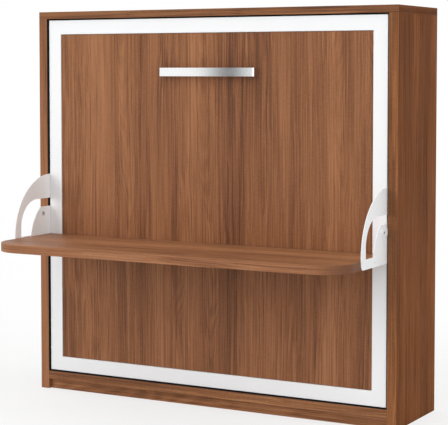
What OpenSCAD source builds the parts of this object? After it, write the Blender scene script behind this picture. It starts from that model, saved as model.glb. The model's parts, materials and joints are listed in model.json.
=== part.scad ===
// Wall bed with a fold-down desk.
// A walnut cabinet holds a white tube frame that tilts out about a pivot near the floor.
// The desk hangs on the frame by two plates, and a parallel rod on each side keeps it level
// while the bed opens. Every height is measured from the floor and every depth from the
// cabinet's front edges. The last step moves the model so that its origin is the middle of
// its footprint.

/* [Cabinet] */
// Overall width of the cabinet
cab_w = 2090; // [1980:5:2300]
// Overall height of the cabinet
cab_h = 2050; // [1980:5:2300]
// Overall depth of the cabinet
cab_d = 510; // [400:5:640]
// Thickness of the side panels
side_t = 50; // [44:1:60]
// Thickness of the top board
top_t = 38; // [25:1:60]
// Thickness of the bottom board
bottom_t = 44; // [25:1:60]
// Height of the plinth under the bottom board
plinth_h = 54; // [40:1:90]
// Thickness of the plinth board
plinth_t = 18; // [12:1:30]
// How far the plinth stands back from the front
plinth_setback = 20; // [0:1:60]
// Thickness of the back panel
back_t = 8; // [4:1:18]
// Height of the rails behind the back panel
rail_h = 110; // [80:5:200]
// Thickness of the rails behind the back panel
rail_t = 22; // [16:1:30]
// Diameter of the holes for the wall bolts
wall_hole_d = 9; // [6:0.5:14]
// Distance between neighbouring wall bolts
wall_hole_pitch = 560; // [300:10:600]
// Number of wall bolts in each rail
wall_hole_n = 4; // [2:1:4]

/* [Bed frame] */
// Gap between the frame and each side panel
side_gap = 8; // [8:0.5:14]
// Gap over and under the closed frame
end_gap = 7; // [6:0.5:14]
// How far the frame lies behind the cabinet's front edges
bed_setback = 10; // [4:1:30]
// Width of the white frame seen from the front
frame_w = 76; // [60:1:100]
// Depth of the frame's tubes
frame_t = 60; // [50:1:80]
// Wall of the frame's tubes
tube_wall = 2; // [1.5:0.25:4]
// Thickness of the front panel
panel_t = 18; // [12:1:22]
// How far the panel lies behind the frame's face
panel_recess = 3.5; // [1:0.5:8]
// Gap between the panel and the frame
panel_gap = 1.5; // [0.5:0.25:4]
// Width of the middle rail
mid_rail_w = 40; // [30:1:60]
// Depth of the middle rail
mid_rail_t = 30; // [25:1:32]
// Length of the angle cleats that hold the panel
cleat_l = 80; // [40:5:120]
// Gap between the angle cleats and the slat holders
cleat_gap = 1.5; // [1:0.5:4]
// Wall of the angle cleats
cleat_wall = 3; // [2:0.5:4]

/* [Mattress and slats] */
// Distance from the frame's sides to the mattress
mattress_side_margin = 37; // [27:0.5:60]
// Distance from the frame's ends to the mattress
mattress_end_margin = 50; // [45:0.5:90]
// Mattress thickness
mattress_t = 185; // [120:5:240]
// Radius of the mattress corners
mattress_corner_r = 70; // [30:5:120]
// Roll of the mattress edges
mattress_edge = 30; // [10:2:50]
// Width of a slat
slat_w = 68; // [40:1:76]
// Thickness of a slat
slat_t = 8; // [6:0.5:12]
// Bow of a slat towards the mattress
slat_bow = 8; // [2:1:12]
// Number of slats in each half
slat_n = 14; // [8:1:16]
// Length of a slat holder
holder_l = 34; // [24:1:50]
// Wall of a slat holder
holder_wall = 3; // [2:0.5:5]
// Play of the slats in their holders
holder_play = 0.4; // [0.2:0.1:1]
// Width of the mattress straps
strap_w = 40; // [25:1:60]
// Thickness of the mattress straps
strap_t = 1.5; // [1:0.25:3]

/* [Handle] */
// Length of the bow handle
handle_l = 556; // [200:2:700]
// Height of the handle's strap
handle_h = 44; // [20:1:60]
// Thickness of the handle's strap
handle_t = 9; // [8:0.5:14]
// How far the handle's middle stands out from the panel
handle_proud = 48; // [36:1:70]
// How much further the middle stands out than the ends
handle_bow = 12; // [2:1:20]
// Radius of the bends at the handle's ends
handle_bend_r = 16; // [12:1:20]
// Distance of the handle's centre below the frame's top
handle_drop = 277; // [150:1:500]
// Distance between the two screws in each end
handle_screw_pitch = 24; // [14:1:30]

/* [Desk] */
// Depth of the desk in front of the frame
desk_d = 545; // [500:5:640]
// Thickness of the desk
desk_t = 44; // [25:1:50]
// Height of the desk's top over the floor
desk_top_z = 852; // [760:1:900]
// Radius of the desk's front corners
desk_corner_r = 160; // [60:5:200]
// Gap between the desk's back edge and the frame
desk_back_gap = 2; // [1:0.5:6]

/* [Desk plates] */
// Thickness of the white quarter-round plates
plate_t = 3.5; // [3:0.25:3.75]
// Radius of the plates' round edge
plate_r = 314; // [280:1:340]
// Height of the round edge's centre over the desk's top
plate_centre_rise = 10; // [0:1:40]
// How far the plates reach below the desk
plate_drop = 0; // [0:1:20]
// Radius of the plates' lower front corner
plate_corner_r = 26; // [4:1:40]
// How far the plates reach back beside the frame
plate_tail = 14; // [10:1:16]
// Width of the plates' front band at the desk
band_front = 52; // [40:1:80]
// Width of the plates' band at its top
band_top = 130; // [80:1:140]
// Height of the slot at the plates' back edge
slot_h = 44; // [30:1:70]
// Radius of the slot's outer bend
slot_bend_r = 140; // [100:1:180]
// Height of the slot's lower end over the desk's top
slot_foot = 4; // [2:1:20]
// Radius of the fin's front edge
fin_r = 224; // [200:1:260]
// Reach of the fin in front of the frame
fin_reach = 176; // [140:1:190]
// Depth of the centre of the fin's round edge under the desk's top
fin_sink = 28; // [0:1:60]
// Distance of the plate bolt in front of the frame
bolt_reach = 62; // [50:1:90]
// Height of the plate bolt over the desk's top
bolt_rise = 112; // [100:1:125]
// Diameter of the plate bolt's flat head
bolt_head_d = 25; // [18:1:32]
// Diameter of the plate bolt's shank
bolt_d = 8; // [6:0.5:10]
// Number of screws that hold each plate to the desk
desk_screw_n = 3; // [2:1:4]

/* [Tilt mechanism] */
// Height of the bed pivot over the frame's lower edge
pivot_rise = 172; // [150:1:200]
// Diameter of the bed pivot pins
pivot_d = 20; // [16:1:24]
// Height of the desk pivot over the desk's top
desk_pivot_rise = 110; // [100:1:125]
// Diameter of the desk pivot pins
desk_pivot_d = 12; // [8:1:14]
// Offset back of the parallel rods from the pivots
link_back = 45; // [43:1:55]
// Offset up of the parallel rods from the pivots
link_up = 45; // [40:1:55]
// Width of the parallel rods
rod_w = 20; // [16:1:26]
// Thickness of the parallel rods
rod_t = 4; // [3:0.5:4]
// Diameter of the parallel rods' pins
rod_pin_d = 10; // [8:1:12]
// Thickness of the arms behind the desk plates
arm_t = 3; // [2.5:0.25:3.25]
// Width of the arms behind the desk plates
arm_w = 36; // [28:1:40]
// How far the round ends of arms and rods stand proud of their sides
end_bulge = 1.5; // [1:0.5:3]
// Radial play of every turning pin
play = 0.05; // [0.02:0.01:0.1]
// Gap between flat faces that pass each other
slide_gap = 0.5; // [0.4:0.1:0.6]

/* [Gas struts] */
// Distance of the strut's anchor behind the cabinet's front
anchor_y = 168; // [165:1:200]
// Height of the strut's anchor over the bed pivot
anchor_rise = 420; // [400:5:460]
// Distance of the strut's lug behind the bed pivot
lug_back = 62; // [60:1:68]
// Distance of the strut's lug below the bed pivot
lug_down = 110; // [100:1:115]
// Outer diameter of the strut's cylinder
strut_d = 18; // [16:1:20]
// Wall of the strut's cylinder
strut_wall = 1.5; // [1:0.25:2]
// Diameter of the strut's rod
strut_rod_d = 8; // [6:1:10]
// Length of the strut's cylinder
strut_body_l = 300; // [280:5:320]
// Length of the strut's rod
strut_rod_l = 325; // [300:5:330]
// Distance of the strut's axis from the side panel
strut_off = 18; // [16:1:20]
// Diameter of the strut's pins
strut_pin_d = 8; // [6:1:10]

/* [Legs] */
// Distance of the leg pivots below the frame's top
leg_pivot_down = 105; // [80:5:300]
// Width of the legs
leg_w = 40; // [30:1:44]
// Thickness of the legs
leg_t = 4; // [3:0.5:4.5]
// Diameter of the leg pins
leg_pin_d = 10; // [8:1:12]
// Height of the rubber feet
foot_h = 24; // [16:1:40]
// Gap under the feet when the bed is open
foot_lift = 1; // [0.5:0.5:3]

/* [Hidden] */
$fn = 64;
FINE_FN = 180;
HULL_FN = 32;
EPS = 1;

WALNUT = "#8f6243";
WALNUT_EDGE = "#7b5136";
WHITE = "#f2f4f6";
STEEL = "#c9ccd0";
ZINC = "#a9adb2";
DARK = "#3b3d40";
NYLON = "#dcd8cc";
RUBBER = "#242424";
PLY = "#d8b98a";
TICKING = "#eceae4";
STRAP = "#5b5e63";

// Cabinet
in_half = cab_w / 2 - side_t;
floor_z = plinth_h + bottom_t;
ceil_z = cab_h - top_t;
back_y = cab_d - rail_t - back_t;
origin_y = (cab_d + bed_setback - desk_d) / 2;

// Bed frame
frame_half = in_half - side_gap;
frame_z0 = floor_z + end_gap;
frame_z1 = ceil_z - end_gap;
handle_z = frame_z1 - handle_drop;
frame_y0 = bed_setback;
frame_y1 = bed_setback + frame_t;
open_half = frame_half - frame_w;
open_z0 = frame_z0 + frame_w;
open_z1 = frame_z1 - frame_w;
panel_y0 = frame_y0 + panel_recess;
panel_y1 = panel_y0 + panel_t;
mid_z = (frame_z0 + frame_z1) / 2;

// Slats, their holders and the mattress
holder_y1 = frame_y1 - slat_bow + holder_wall;
holder_y0 = holder_y1 - slat_t - 2 * holder_wall;
slat_from = mid_rail_w / 2 + holder_wall;
slat_to = open_half - holder_wall;
slat_heights = evenly(slat_n, open_z0, open_z1);
cleat_leg = holder_y0 - cleat_gap - panel_y1;
mattress_l = 2 * (frame_half - mattress_side_margin);
mattress_w = frame_z1 - frame_z0 - 2 * mattress_end_margin;

// Pivots as [depth, height]
bed_pivot = [frame_y0 + frame_t / 2, frame_z0 + pivot_rise];
link_offset = [link_back, link_up];
rod_pivot = bed_pivot + link_offset;
desk_pivot = [bed_pivot[0], desk_top_z + desk_pivot_rise];
arm_pivot = desk_pivot + link_offset;
plate_bolt = [frame_y0 - bolt_reach, desk_top_z + bolt_rise];
leg_pivot = [bed_pivot[0], frame_z1 - leg_pivot_down];
strut_anchor_at = [anchor_y, bed_pivot[1] + anchor_rise];
strut_lug_at = bed_pivot + [lug_back, -lug_down];

// Layers in the gap beside the frame, measured inwards from the side panel
stack_t = arm_t + plate_t;
arm_off = (side_gap - stack_t) / 2;
plate_off = arm_off + arm_t;
rod_off = plate_off + slide_gap;
leg_off = (side_gap - leg_t) / 2;
desk_half = in_half - plate_off - plate_t;

// Desk
desk_z0 = desk_top_z - desk_t;
desk_y0 = frame_y0 - desk_d;
desk_y1 = frame_y0 - desk_back_gap;

// Pivot hardware
bush_wall = 3;
bush_l = 28;
bush_flange = 1.5;
bush_flange_reach = 7;
bush_flange_d = pivot_d + 2 * bush_flange_reach;
pin_end_gap = 1;
pin_reach = bush_l - pin_end_gap;
pivot_collar_reach = 8;
pivot_collar_d = pivot_d + 2 * pivot_collar_reach;
pivot_plate_t = 5;
pivot_plate_margin = 32;
plate_screw_d = 5;
plate_screw_l = 30;
rod_boss_reach = 4;
rod_boss_d = rod_pin_d + 2 * rod_boss_reach;
pin_head_t = 2;
pin_head_reach = 3;
pin_head_d = rod_pin_d + 2 * pin_head_reach;
flush_head_t = 0.9;
flush_head_reach = 2.5;
shoulder_reach = 3;
nut_t = 5;
nut_d = 16;
bolt_head_t = 1.5;

// Gas strut
strut_eye_wall = 5;
strut_eye_d = strut_pin_d + 2 * strut_eye_wall;
strut_eye_t = 10;
strut_dir = strut_lug_at - strut_anchor_at;
strut_closed_l = norm(strut_dir);
strut_lean = atan2(strut_dir[0], -strut_dir[1]);
strut_tail = 14;
gland_l = 12;
piston_l = 10;
anchor_plate_t = 3;
anchor_plate_w = 46;
anchor_plate_h = 70;
lug_t = 4;
lug_gap = 0.5;

// ---- Helpers ----

// Moves a piece from the cabinet's measures to the model's origin
module placed() {
    translate([0, -origin_y, 0]) children();
}

// Left-hand pieces are drawn as they are and right-hand ones are mirrored
module on_side(right) {
    mirror([right ? 1 : 0, 0, 0]) children();
}

module on_both_sides() {
    for (right = [false, true]) on_side(right) children();
}

// A board between two corners
module board(low, high) {
    translate(low) cube(high - low);
}

// A flat outline in [depth, height], as a plate that starts off millimetres inside the left
// side panel's inner face
module side_plate(off, thick) {
    translate([-in_half + off, 0, 0])
        rotate([90, 0, 90])
            linear_extrude(thick) children();
}

// A round pin along X at p = [depth, height], from off inwards
module side_pin(off, long, diameter, p) {
    translate([-in_half + off, p[0], p[1]])
        rotate([0, 90, 0]) cylinder(h = long, d = diameter);
}

// A flat bar from p to q with round ends that stand a little proud of its sides
module bar_2d(p, q, wide) {
    shank = wide - 2 * end_bulge;
    translate(p) circle(d = wide);
    translate(q) circle(d = wide);
    translate(p)
        rotate(atan2(q[1] - p[1], q[0] - p[0]))
            translate([0, -shank / 2]) square([norm(q - p), shank]);
}

module hole_2d(p, diameter) {
    translate(p) circle(d = diameter);
}

// A rectangle whose two corners at the low y side are round
module round_front_2d(wide, y0, y1, r) {
    translate([-wide / 2, y0 + r]) square([wide, y1 - y0 - r]);
    translate([-wide / 2 + r, y0]) square([wide - 2 * r, r]);
    for (s = [-1, 1]) translate([s * (wide / 2 - r), y0 + r]) circle(r = r, $fn = FINE_FN);
}

function arc(centre, r, from, to, steps) = [
    for (i = [0:steps])
        let (a = from + (to - from) * i / steps)
        centre + r * [cos(a), sin(a)]
];

function evenly(n, low, high) = [for (i = [0:n - 1]) low + (high - low) * (i + 0.5) / n];

// ---- Cabinet ----

plate_low = [bed_pivot[0] - pivot_plate_margin, bed_pivot[1] - 2 * pivot_plate_margin];
plate_high = rod_pivot + [pivot_plate_margin, 2 * pivot_plate_margin];
plate_screw_inset = 12;
plate_screws_at = [
    for (y = [plate_low[0] + plate_screw_inset, plate_high[0] - plate_screw_inset])
        for (z = [plate_low[1] + plate_screw_inset, plate_high[1] - plate_screw_inset])
            [y, z]
];
anchor_screws_at = [
    for (s = [-1, 1]) strut_anchor_at + [0, s * (anchor_plate_h / 2 - plate_screw_inset)]
];
pivot_seat_d = pivot_d + 2 * play + 2 * bush_wall;

module side_panel(right) {
    color(WALNUT) placed() on_side(right) difference() {
        board([-cab_w / 2, 0, 0], [-in_half, cab_d, ceil_z]);
        side_plate(-pivot_plate_t, pivot_plate_t + EPS)
            translate(plate_low) square(plate_high - plate_low);
        side_pin(-bush_l, bush_l + EPS, pivot_seat_d, bed_pivot);
        for (p = plate_screws_at)
            side_pin(-plate_screw_l, plate_screw_l + EPS, plate_screw_d, p);
        for (p = anchor_screws_at)
            side_pin(-plate_screw_l, plate_screw_l + EPS, plate_screw_d, p);
    }
}

module top_board() {
    color(WALNUT) placed() board([-cab_w / 2, 0, ceil_z], [cab_w / 2, cab_d, cab_h]);
}

module bottom_board() {
    color(WALNUT) placed() board([-in_half, 0, plinth_h], [in_half, cab_d, floor_z]);
}

module plinth() {
    color(WALNUT_EDGE) placed()
        board([-in_half, plinth_setback, 0], [in_half, plinth_setback + plinth_t, plinth_h]);
}

module back_panel() {
    color(WALNUT) placed() difference() {
        board([-in_half, back_y, floor_z], [in_half, back_y + back_t, ceil_z]);
        wall_holes(ceil_z - rail_h / 2);
        wall_holes(floor_z + rail_h / 2);
    }
}

module wall_holes(height) {
    for (i = [0:wall_hole_n - 1])
        translate([(i - (wall_hole_n - 1) / 2) * wall_hole_pitch, back_y - EPS, height])
            rotate([-90, 0, 0]) cylinder(h = back_t + rail_t + 2 * EPS, d = wall_hole_d);
}

module rear_rail(low, high) {
    difference() {
        board([-in_half, back_y + back_t, low], [in_half, cab_d, high]);
        wall_holes((low + high) / 2);
    }
}

module rear_top_rail() {
    color(WALNUT_EDGE) placed() rear_rail(ceil_z - rail_h, ceil_z);
}

module rear_lower_rail() {
    color(WALNUT_EDGE) placed() rear_rail(floor_z, floor_z + rail_h);
}

// ---- Pivot hardware on the cabinet ----

module pivot_plate(right) {
    color(ZINC) placed() on_side(right)
        side_plate(-pivot_plate_t, pivot_plate_t) difference() {
            translate(plate_low) square(plate_high - plate_low);
            hole_2d(bed_pivot, pivot_seat_d);
            for (p = plate_screws_at) hole_2d(p, plate_screw_d);
            hole_2d(rod_pivot, rod_pin_d);
        }
}

module pivot_bush(right) {
    color(NYLON) placed() on_side(right) difference() {
        union() {
            side_pin(-bush_l, bush_l, pivot_seat_d, bed_pivot);
            side_pin(0, bush_flange, bush_flange_d, bed_pivot);
        }
        side_pin(-bush_l - EPS, bush_l + bush_flange + 2 * EPS, pivot_d + 2 * play, bed_pivot);
    }
}

// Shoulder stud on the pivot plate that carries the parallel rod
module rod_stud(right) {
    color(STEEL) placed() on_side(right) {
        side_pin(-pivot_plate_t, pivot_plate_t + rod_off + rod_t + slide_gap, rod_pin_d, rod_pivot);
        side_pin(0, rod_off - slide_gap, rod_boss_d, rod_pivot);
        side_pin(rod_off + rod_t + slide_gap, pin_head_t, pin_head_d, rod_pivot);
    }
}

module strut_anchor(right) {
    color(ZINC) placed() on_side(right) {
        side_plate(0, anchor_plate_t) difference() {
            translate(strut_anchor_at - [anchor_plate_w, anchor_plate_h] / 2)
                square([anchor_plate_w, anchor_plate_h]);
            for (p = anchor_screws_at) hole_2d(p, plate_screw_d);
        }
        side_pin(anchor_plate_t, strut_off - strut_eye_t / 2 - slide_gap - anchor_plate_t,
                 strut_eye_d, strut_anchor_at);
        side_pin(anchor_plate_t, strut_off + strut_eye_t / 2 + slide_gap - anchor_plate_t,
                 strut_pin_d, strut_anchor_at);
        side_pin(strut_off + strut_eye_t / 2 + slide_gap, pin_head_t, strut_pin_d + 2 * flush_head_reach,
                 strut_anchor_at);
    }
}

// A screw whose head is flush with face
module flush_screw(face, p) {
    side_pin(face - plate_screw_l, plate_screw_l, plate_screw_d, p);
}

module mechanism_screws() {
    color(STEEL) placed() on_both_sides() {
        for (p = plate_screws_at) flush_screw(0, p);
        for (p = anchor_screws_at) flush_screw(anchor_plate_t, p);
    }
}

// Blocks near the top that stop the closing bed, each with a rubber buffer
stop_over_leg = 60;
stop_z = leg_pivot[1] + stop_over_leg;
stop_w = 24;
stop_h = 50;
stop_depth = 40;
buffer_t = 4;
buffer_d = 18;
buffer_edge = 1;
stop_gap = 0.4;
stop_y = frame_y1 + stop_gap + buffer_t;

module stop_block(right) {
    color(DARK) placed() on_side(right)
        board([-in_half, stop_y, stop_z - stop_h / 2],
              [-in_half + stop_w, stop_y + stop_depth, stop_z + stop_h / 2]);
}

module stop_buffers() {
    color(RUBBER) placed() on_both_sides()
        translate([-in_half + stop_w - buffer_d / 2 - buffer_edge, stop_y, stop_z])
            rotate([90, 0, 0]) cylinder(h = buffer_t, d = buffer_d);
}

// ---- Bed frame ----

// A mitred tube of the frame's outer border, drawn along +X at height 0 and turned into place
module border_tube(long) {
    difference() {
        rotate([90, 0, 0])
            translate([0, 0, -frame_t])
                linear_extrude(frame_t)
                    polygon([
                        [-long / 2, 0], [long / 2, 0],
                        [long / 2 - frame_w, -frame_w], [-long / 2 + frame_w, -frame_w]
                    ]);
        board([-long, tube_wall, -frame_w + tube_wall],
              [long, frame_t - tube_wall, -tube_wall]);
    }
}

frame_wide = 2 * frame_half;
frame_high = frame_z1 - frame_z0;

module frame_top_rail() {
    color(WHITE) placed() translate([0, frame_y0, frame_z1]) border_tube(frame_wide);
}

module frame_bottom_rail() {
    color(WHITE) placed()
        translate([0, frame_y0, frame_z0]) mirror([0, 0, 1]) border_tube(frame_wide);
}

module stile(right) {
    color(WHITE) placed() on_side(right)
        translate([-frame_half, frame_y0, mid_z]) rotate([0, -90, 0]) border_tube(frame_high);
}

module middle_rail() {
    y0 = holder_y1 - mid_rail_t;
    color(WHITE) placed() difference() {
        board([-mid_rail_w / 2, y0, open_z0], [mid_rail_w / 2, holder_y1, open_z1]);
        board([-mid_rail_w / 2 + tube_wall, y0 + tube_wall, open_z0 - EPS],
              [mid_rail_w / 2 - tube_wall, holder_y1 - tube_wall, open_z1 + EPS]);
    }
}

handle_foot_x = handle_l / 2 - handle_t / 2;
handle_screw_d = 4;
handle_screws_at = [
    for (sx = [-1, 1]) for (sz = [-1, 1])
        [sx * handle_foot_x, handle_z + sz * handle_screw_pitch / 2]
];
screw_bite = 12;

module front_panel() {
    color(WALNUT) placed() difference() {
        board([-open_half + panel_gap, panel_y0, open_z0 + panel_gap],
              [open_half - panel_gap, panel_y1, open_z1 - panel_gap]);
        for (p = handle_screws_at)
            translate([p[0], panel_y0 - EPS, p[1]])
                rotate([-90, 0, 0]) cylinder(h = panel_t + 2 * EPS, d = handle_screw_d);
    }
}

// Angles that hold the panel's back to the inner faces of the frame's tubes
module cleat() {
    cube([cleat_l, cleat_wall, cleat_leg]);
    cube([cleat_l, cleat_leg, cleat_wall]);
}

module panel_cleats() {
    cleats_per_edge = 3;
    color(ZINC) placed() {
        for (x = evenly(cleats_per_edge, -open_half, open_half)) {
            if (abs(x) > mid_rail_w)
                for (end = [0, 1])
                    translate([x - cleat_l / 2, panel_y1, end ? open_z1 : open_z0])
                        mirror([0, 0, end]) cleat();
        }
        for (z = evenly(cleats_per_edge, open_z0, open_z1))
            on_both_sides()
                translate([-open_half, panel_y1, z + cleat_l / 2])
                    rotate([0, 90, 0]) cleat();
    }
}

// ---- Handle ----

// Plan of the handle's strap: y = 0 is the panel's face and the strap stands out towards -Y.
// A shallow bow runs between two bends that are tangent to it.
bow_steps = 24;
bend_steps = 8;
bend_x = handle_l / 2 - handle_bend_r;
bend_turn = atan(8 * handle_bow * bend_x / pow(handle_l, 2));
bow_end_x = bend_x + handle_bend_r * sin(bend_turn);
bend_y = bow_y(bow_end_x) + handle_bend_r * cos(bend_turn);

function bow_y(x) = -handle_proud + handle_bow * pow(2 * x / handle_l, 2);

function bow_line(inset) =
    let (end_x = bow_end_x - inset * sin(bend_turn))
    [for (i = [1:bow_steps - 1]) let (x = end_x * (2 * i / bow_steps - 1)) [x, bow_y(x) + inset]];

function handle_outline(inset) =
    let (end_x = handle_l / 2 - inset, r = handle_bend_r - inset)
    concat(
        [[-end_x, 0]],
        arc([-bend_x, bend_y], r, 180, 270 - bend_turn, bend_steps),
        bow_line(inset),
        arc([bend_x, bend_y], r, 270 + bend_turn, 360, bend_steps),
        [[end_x, 0]]
    );

module handle() {
    inner = handle_outline(handle_t);
    color(STEEL) placed() difference() {
        translate([0, panel_y0, handle_z - handle_h / 2]) linear_extrude(handle_h)
            polygon(concat(handle_outline(0), [for (i = [len(inner) - 1:-1:0]) inner[i]]));
        for (p = handle_screws_at)
            translate([p[0], panel_y0 - screw_bite, p[1]])
                rotate([-90, 0, 0]) cylinder(h = screw_bite + EPS, d = handle_screw_d);
    }
}

module handle_screws() {
    head_d = 8;
    head_t = 3;
    color(STEEL) placed() for (p = handle_screws_at) translate([p[0], 0, p[1]]) {
        translate([0, panel_y0 - screw_bite, 0])
            rotate([-90, 0, 0]) cylinder(h = screw_bite + panel_t, d = handle_screw_d);
        translate([0, panel_y1, 0]) rotate([-90, 0, 0]) cylinder(h = head_t, d = head_d);
    }
}

// ---- Slats and mattress ----

// Depth of a slat's mattress face at a share u of its length
function slat_face(u) = frame_y1 - slat_bow * pow(2 * u - 1, 2);

module slat_2d() {
    steps = 12;
    long = slat_to - slat_from;
    polygon(concat(
        [for (i = [0:steps]) [slat_from + long * i / steps, slat_face(i / steps)]],
        [for (i = [steps:-1:0]) [slat_from + long * i / steps, slat_face(i / steps) - slat_t]]
    ));
}

module slats(right) {
    color(PLY) placed() on_side(!right)
        for (z = slat_heights)
            translate([0, 0, z - slat_w / 2]) linear_extrude(slat_w) slat_2d();
}

// A plastic pocket round a slat's end, against the tube that carries it
module slat_holder(x0, x1, open_at_x1) {
    slat_rise = slat_face((x1 - x0) / (slat_to - slat_from)) - slat_face(0);
    difference() {
        board([x0, holder_y0, -slat_w / 2 - holder_wall],
              [x1, holder_y1, slat_w / 2 + holder_wall]);
        board([open_at_x1 ? x0 + holder_wall : x0 - EPS,
               holder_y0 + holder_wall - holder_play, -slat_w / 2],
              [open_at_x1 ? x1 + EPS : x1 - holder_wall,
               holder_y1 - holder_wall + slat_rise + holder_play, slat_w / 2]);
    }
}

module slat_holders() {
    color(DARK) placed() on_both_sides()
        for (z = slat_heights) translate([0, 0, z]) {
            slat_holder(mid_rail_w / 2, mid_rail_w / 2 + holder_l, true);
            slat_holder(open_half - holder_l, open_half, false);
        }
}

// A slab with round corners and rolled edges
module mattress() {
    rings = 4;
    color(TICKING) placed() hull()
        for (i = [0:rings]) {
            a = 90 * i / rings;
            inset = mattress_edge * (1 - sin(a));
            depth = mattress_t - 2 * mattress_edge * (1 - cos(a));
            translate([0, frame_y1 + mattress_t / 2 + depth / 2, mid_z])
                rotate([90, 0, 0]) linear_extrude(depth)
                    rounded_2d(mattress_l - 2 * inset, mattress_w - 2 * inset,
                               mattress_corner_r - inset);
        }
}

module rounded_2d(wide, high, r) {
    hull()
        for (sx = [-1, 1]) for (sy = [-1, 1])
            translate([sx * (wide / 2 - r), sy * (high / 2 - r)]) circle(r = r, $fn = HULL_FN);
}

module mattress_straps() {
    straps_at = [mid_z - mattress_w / 4, mid_z + mattress_w / 4];
    outer = mattress_l / 2 + strap_t;
    top_y = frame_y1 + mattress_t;
    color(STRAP) placed() for (z = straps_at) translate([0, 0, z - strap_w / 2])
        linear_extrude(strap_w) difference() {
            translate([-outer, frame_y1]) square([2 * outer, mattress_t + strap_t]);
            translate([-mattress_l / 2, frame_y1 - EPS]) square([mattress_l, mattress_t + EPS]);
        }
}

// ---- Pivot hardware on the bed frame ----

module pivot_pin(right) {
    color(STEEL) placed() on_side(right) {
        side_pin(-pin_reach, pin_reach + side_gap, pivot_d, bed_pivot);
        side_pin(bush_flange + slide_gap, side_gap - bush_flange - slide_gap, pivot_collar_d,
                 bed_pivot);
    }
}

// Flat lug on the back of the stile that faces the strut's end
module strut_lug(right) {
    off = strut_off + strut_eye_t / 2 + lug_gap;
    color(WHITE) placed() on_side(right) side_plate(off, lug_t) {
        hole_2d(strut_lug_at, strut_eye_d);
        translate([frame_y1, strut_lug_at[1] - strut_eye_d / 2])
            square([strut_lug_at[0] - frame_y1, strut_eye_d]);
    }
}

module desk_pivot_pins() {
    color(STEEL) placed() on_both_sides() {
        side_pin(arm_off, side_gap - arm_off, desk_pivot_d, desk_pivot);
        side_pin(plate_off + slide_gap, side_gap - plate_off - slide_gap,
                 desk_pivot_d + 2 * shoulder_reach, desk_pivot);
    }
}

module leg_pins() {
    color(STEEL) placed() on_both_sides() {
        side_pin(leg_off - slide_gap, side_gap - leg_off + slide_gap, leg_pin_d, leg_pivot);
        side_pin(leg_off + leg_t + slide_gap, side_gap - leg_off - leg_t - slide_gap,
                 leg_pin_d + 2 * shoulder_reach, leg_pivot);
        side_pin(leg_off - slide_gap - flush_head_t, flush_head_t,
                 leg_pin_d + 2 * flush_head_reach, leg_pivot);
    }
}

// ---- Desk ----

module desk_board() {
    color(WALNUT) placed() difference() {
        translate([0, 0, desk_z0]) linear_extrude(desk_t)
            round_front_2d(2 * desk_half, desk_y0, desk_y1, desk_corner_r);
        on_both_sides()
            for (p = desk_screws_at)
                side_pin(plate_off, desk_screw_l, desk_screw_d, p);
    }
}

desk_screw_d = 5;
desk_screw_l = 50;
desk_screws_at = [
    for (y = evenly(desk_screw_n, frame_y0 - plate_r, frame_y0))
        [y, desk_top_z - desk_t / 2]
];
plate_centre = [frame_y0, desk_top_z + plate_centre_rise];
plate_z0 = desk_z0 - plate_drop;
slot_top = plate_centre[1] + plate_r - band_top;
slot_front = frame_y0 - plate_r + band_front;
slot_z0 = desk_top_z + slot_foot;
fin_top = slot_top - slot_h;

// The quarter-round outline before its slot is cut
module quarter_2d() {
    plate_y0 = frame_y0 - plate_r;
    plate_z1 = plate_centre[1] + plate_r;
    intersection() {
        translate(plate_centre) circle(r = plate_r, $fn = FINE_FN);
        translate([plate_y0, plate_centre[1]]) square([plate_r, plate_r]);
    }
    translate([plate_y0, plate_z0 + plate_corner_r])
        square([plate_r, plate_centre[1] - plate_z0 - plate_corner_r]);
    translate([plate_y0 + plate_corner_r, plate_z0])
        square([plate_r - plate_corner_r, plate_corner_r]);
    translate([plate_y0 + plate_corner_r, plate_z0 + plate_corner_r]) circle(r = plate_corner_r);
    translate([frame_y0, plate_z0]) square([plate_tail, plate_z1 - plate_z0]);
}

// The hooked slot: a bent opening in front of the fin that runs out at the plate's back edge
module slot_2d() {
    difference() {
        union() {
            translate([slot_front, slot_z0])
                square([frame_y0 + plate_tail + EPS - slot_front,
                        slot_top - slot_bend_r - slot_z0]);
            translate([slot_front + slot_bend_r, slot_z0])
                square([frame_y0 + plate_tail + EPS - slot_front - slot_bend_r,
                        slot_top - slot_z0]);
            intersection() {
                translate([slot_front + slot_bend_r, slot_top - slot_bend_r])
                    circle(r = slot_bend_r, $fn = FINE_FN);
                translate([slot_front, slot_z0])
                    square([2 * slot_bend_r, slot_top - slot_z0]);
            }
        }
        intersection() {
            translate([frame_y0 - fin_reach + fin_r, desk_top_z - fin_sink])
                circle(r = fin_r, $fn = FINE_FN);
            translate([frame_y0 - fin_reach, slot_z0 - EPS])
                square([fin_reach + plate_tail + 2 * EPS, fin_top - slot_z0 + EPS]);
        }
    }
}

module desk_plate(right) {
    color(WHITE) placed() on_side(right) difference() {
        side_plate(plate_off, plate_t) difference() {
            quarter_2d();
            slot_2d();
            hole_2d(plate_bolt, bolt_d);
            for (p = desk_screws_at) hole_2d(p, desk_screw_d);
        }
        side_pin(plate_off + plate_t - bolt_head_t, bolt_head_t + EPS, bolt_head_d, plate_bolt);
    }
}

// Steel arm behind the plate: bolt, desk pivot and parallel rod's pivot
module desk_arm(right) {
    color(WHITE) placed() on_side(right) side_plate(arm_off, arm_t) difference() {
        union() {
            bar_2d(plate_bolt, desk_pivot, arm_w);
            bar_2d(desk_pivot, arm_pivot, arm_w);
        }
        hole_2d(plate_bolt, bolt_d);
        hole_2d(desk_pivot, desk_pivot_d + 2 * play);
        hole_2d(arm_pivot, rod_pin_d);
    }
}

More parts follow.
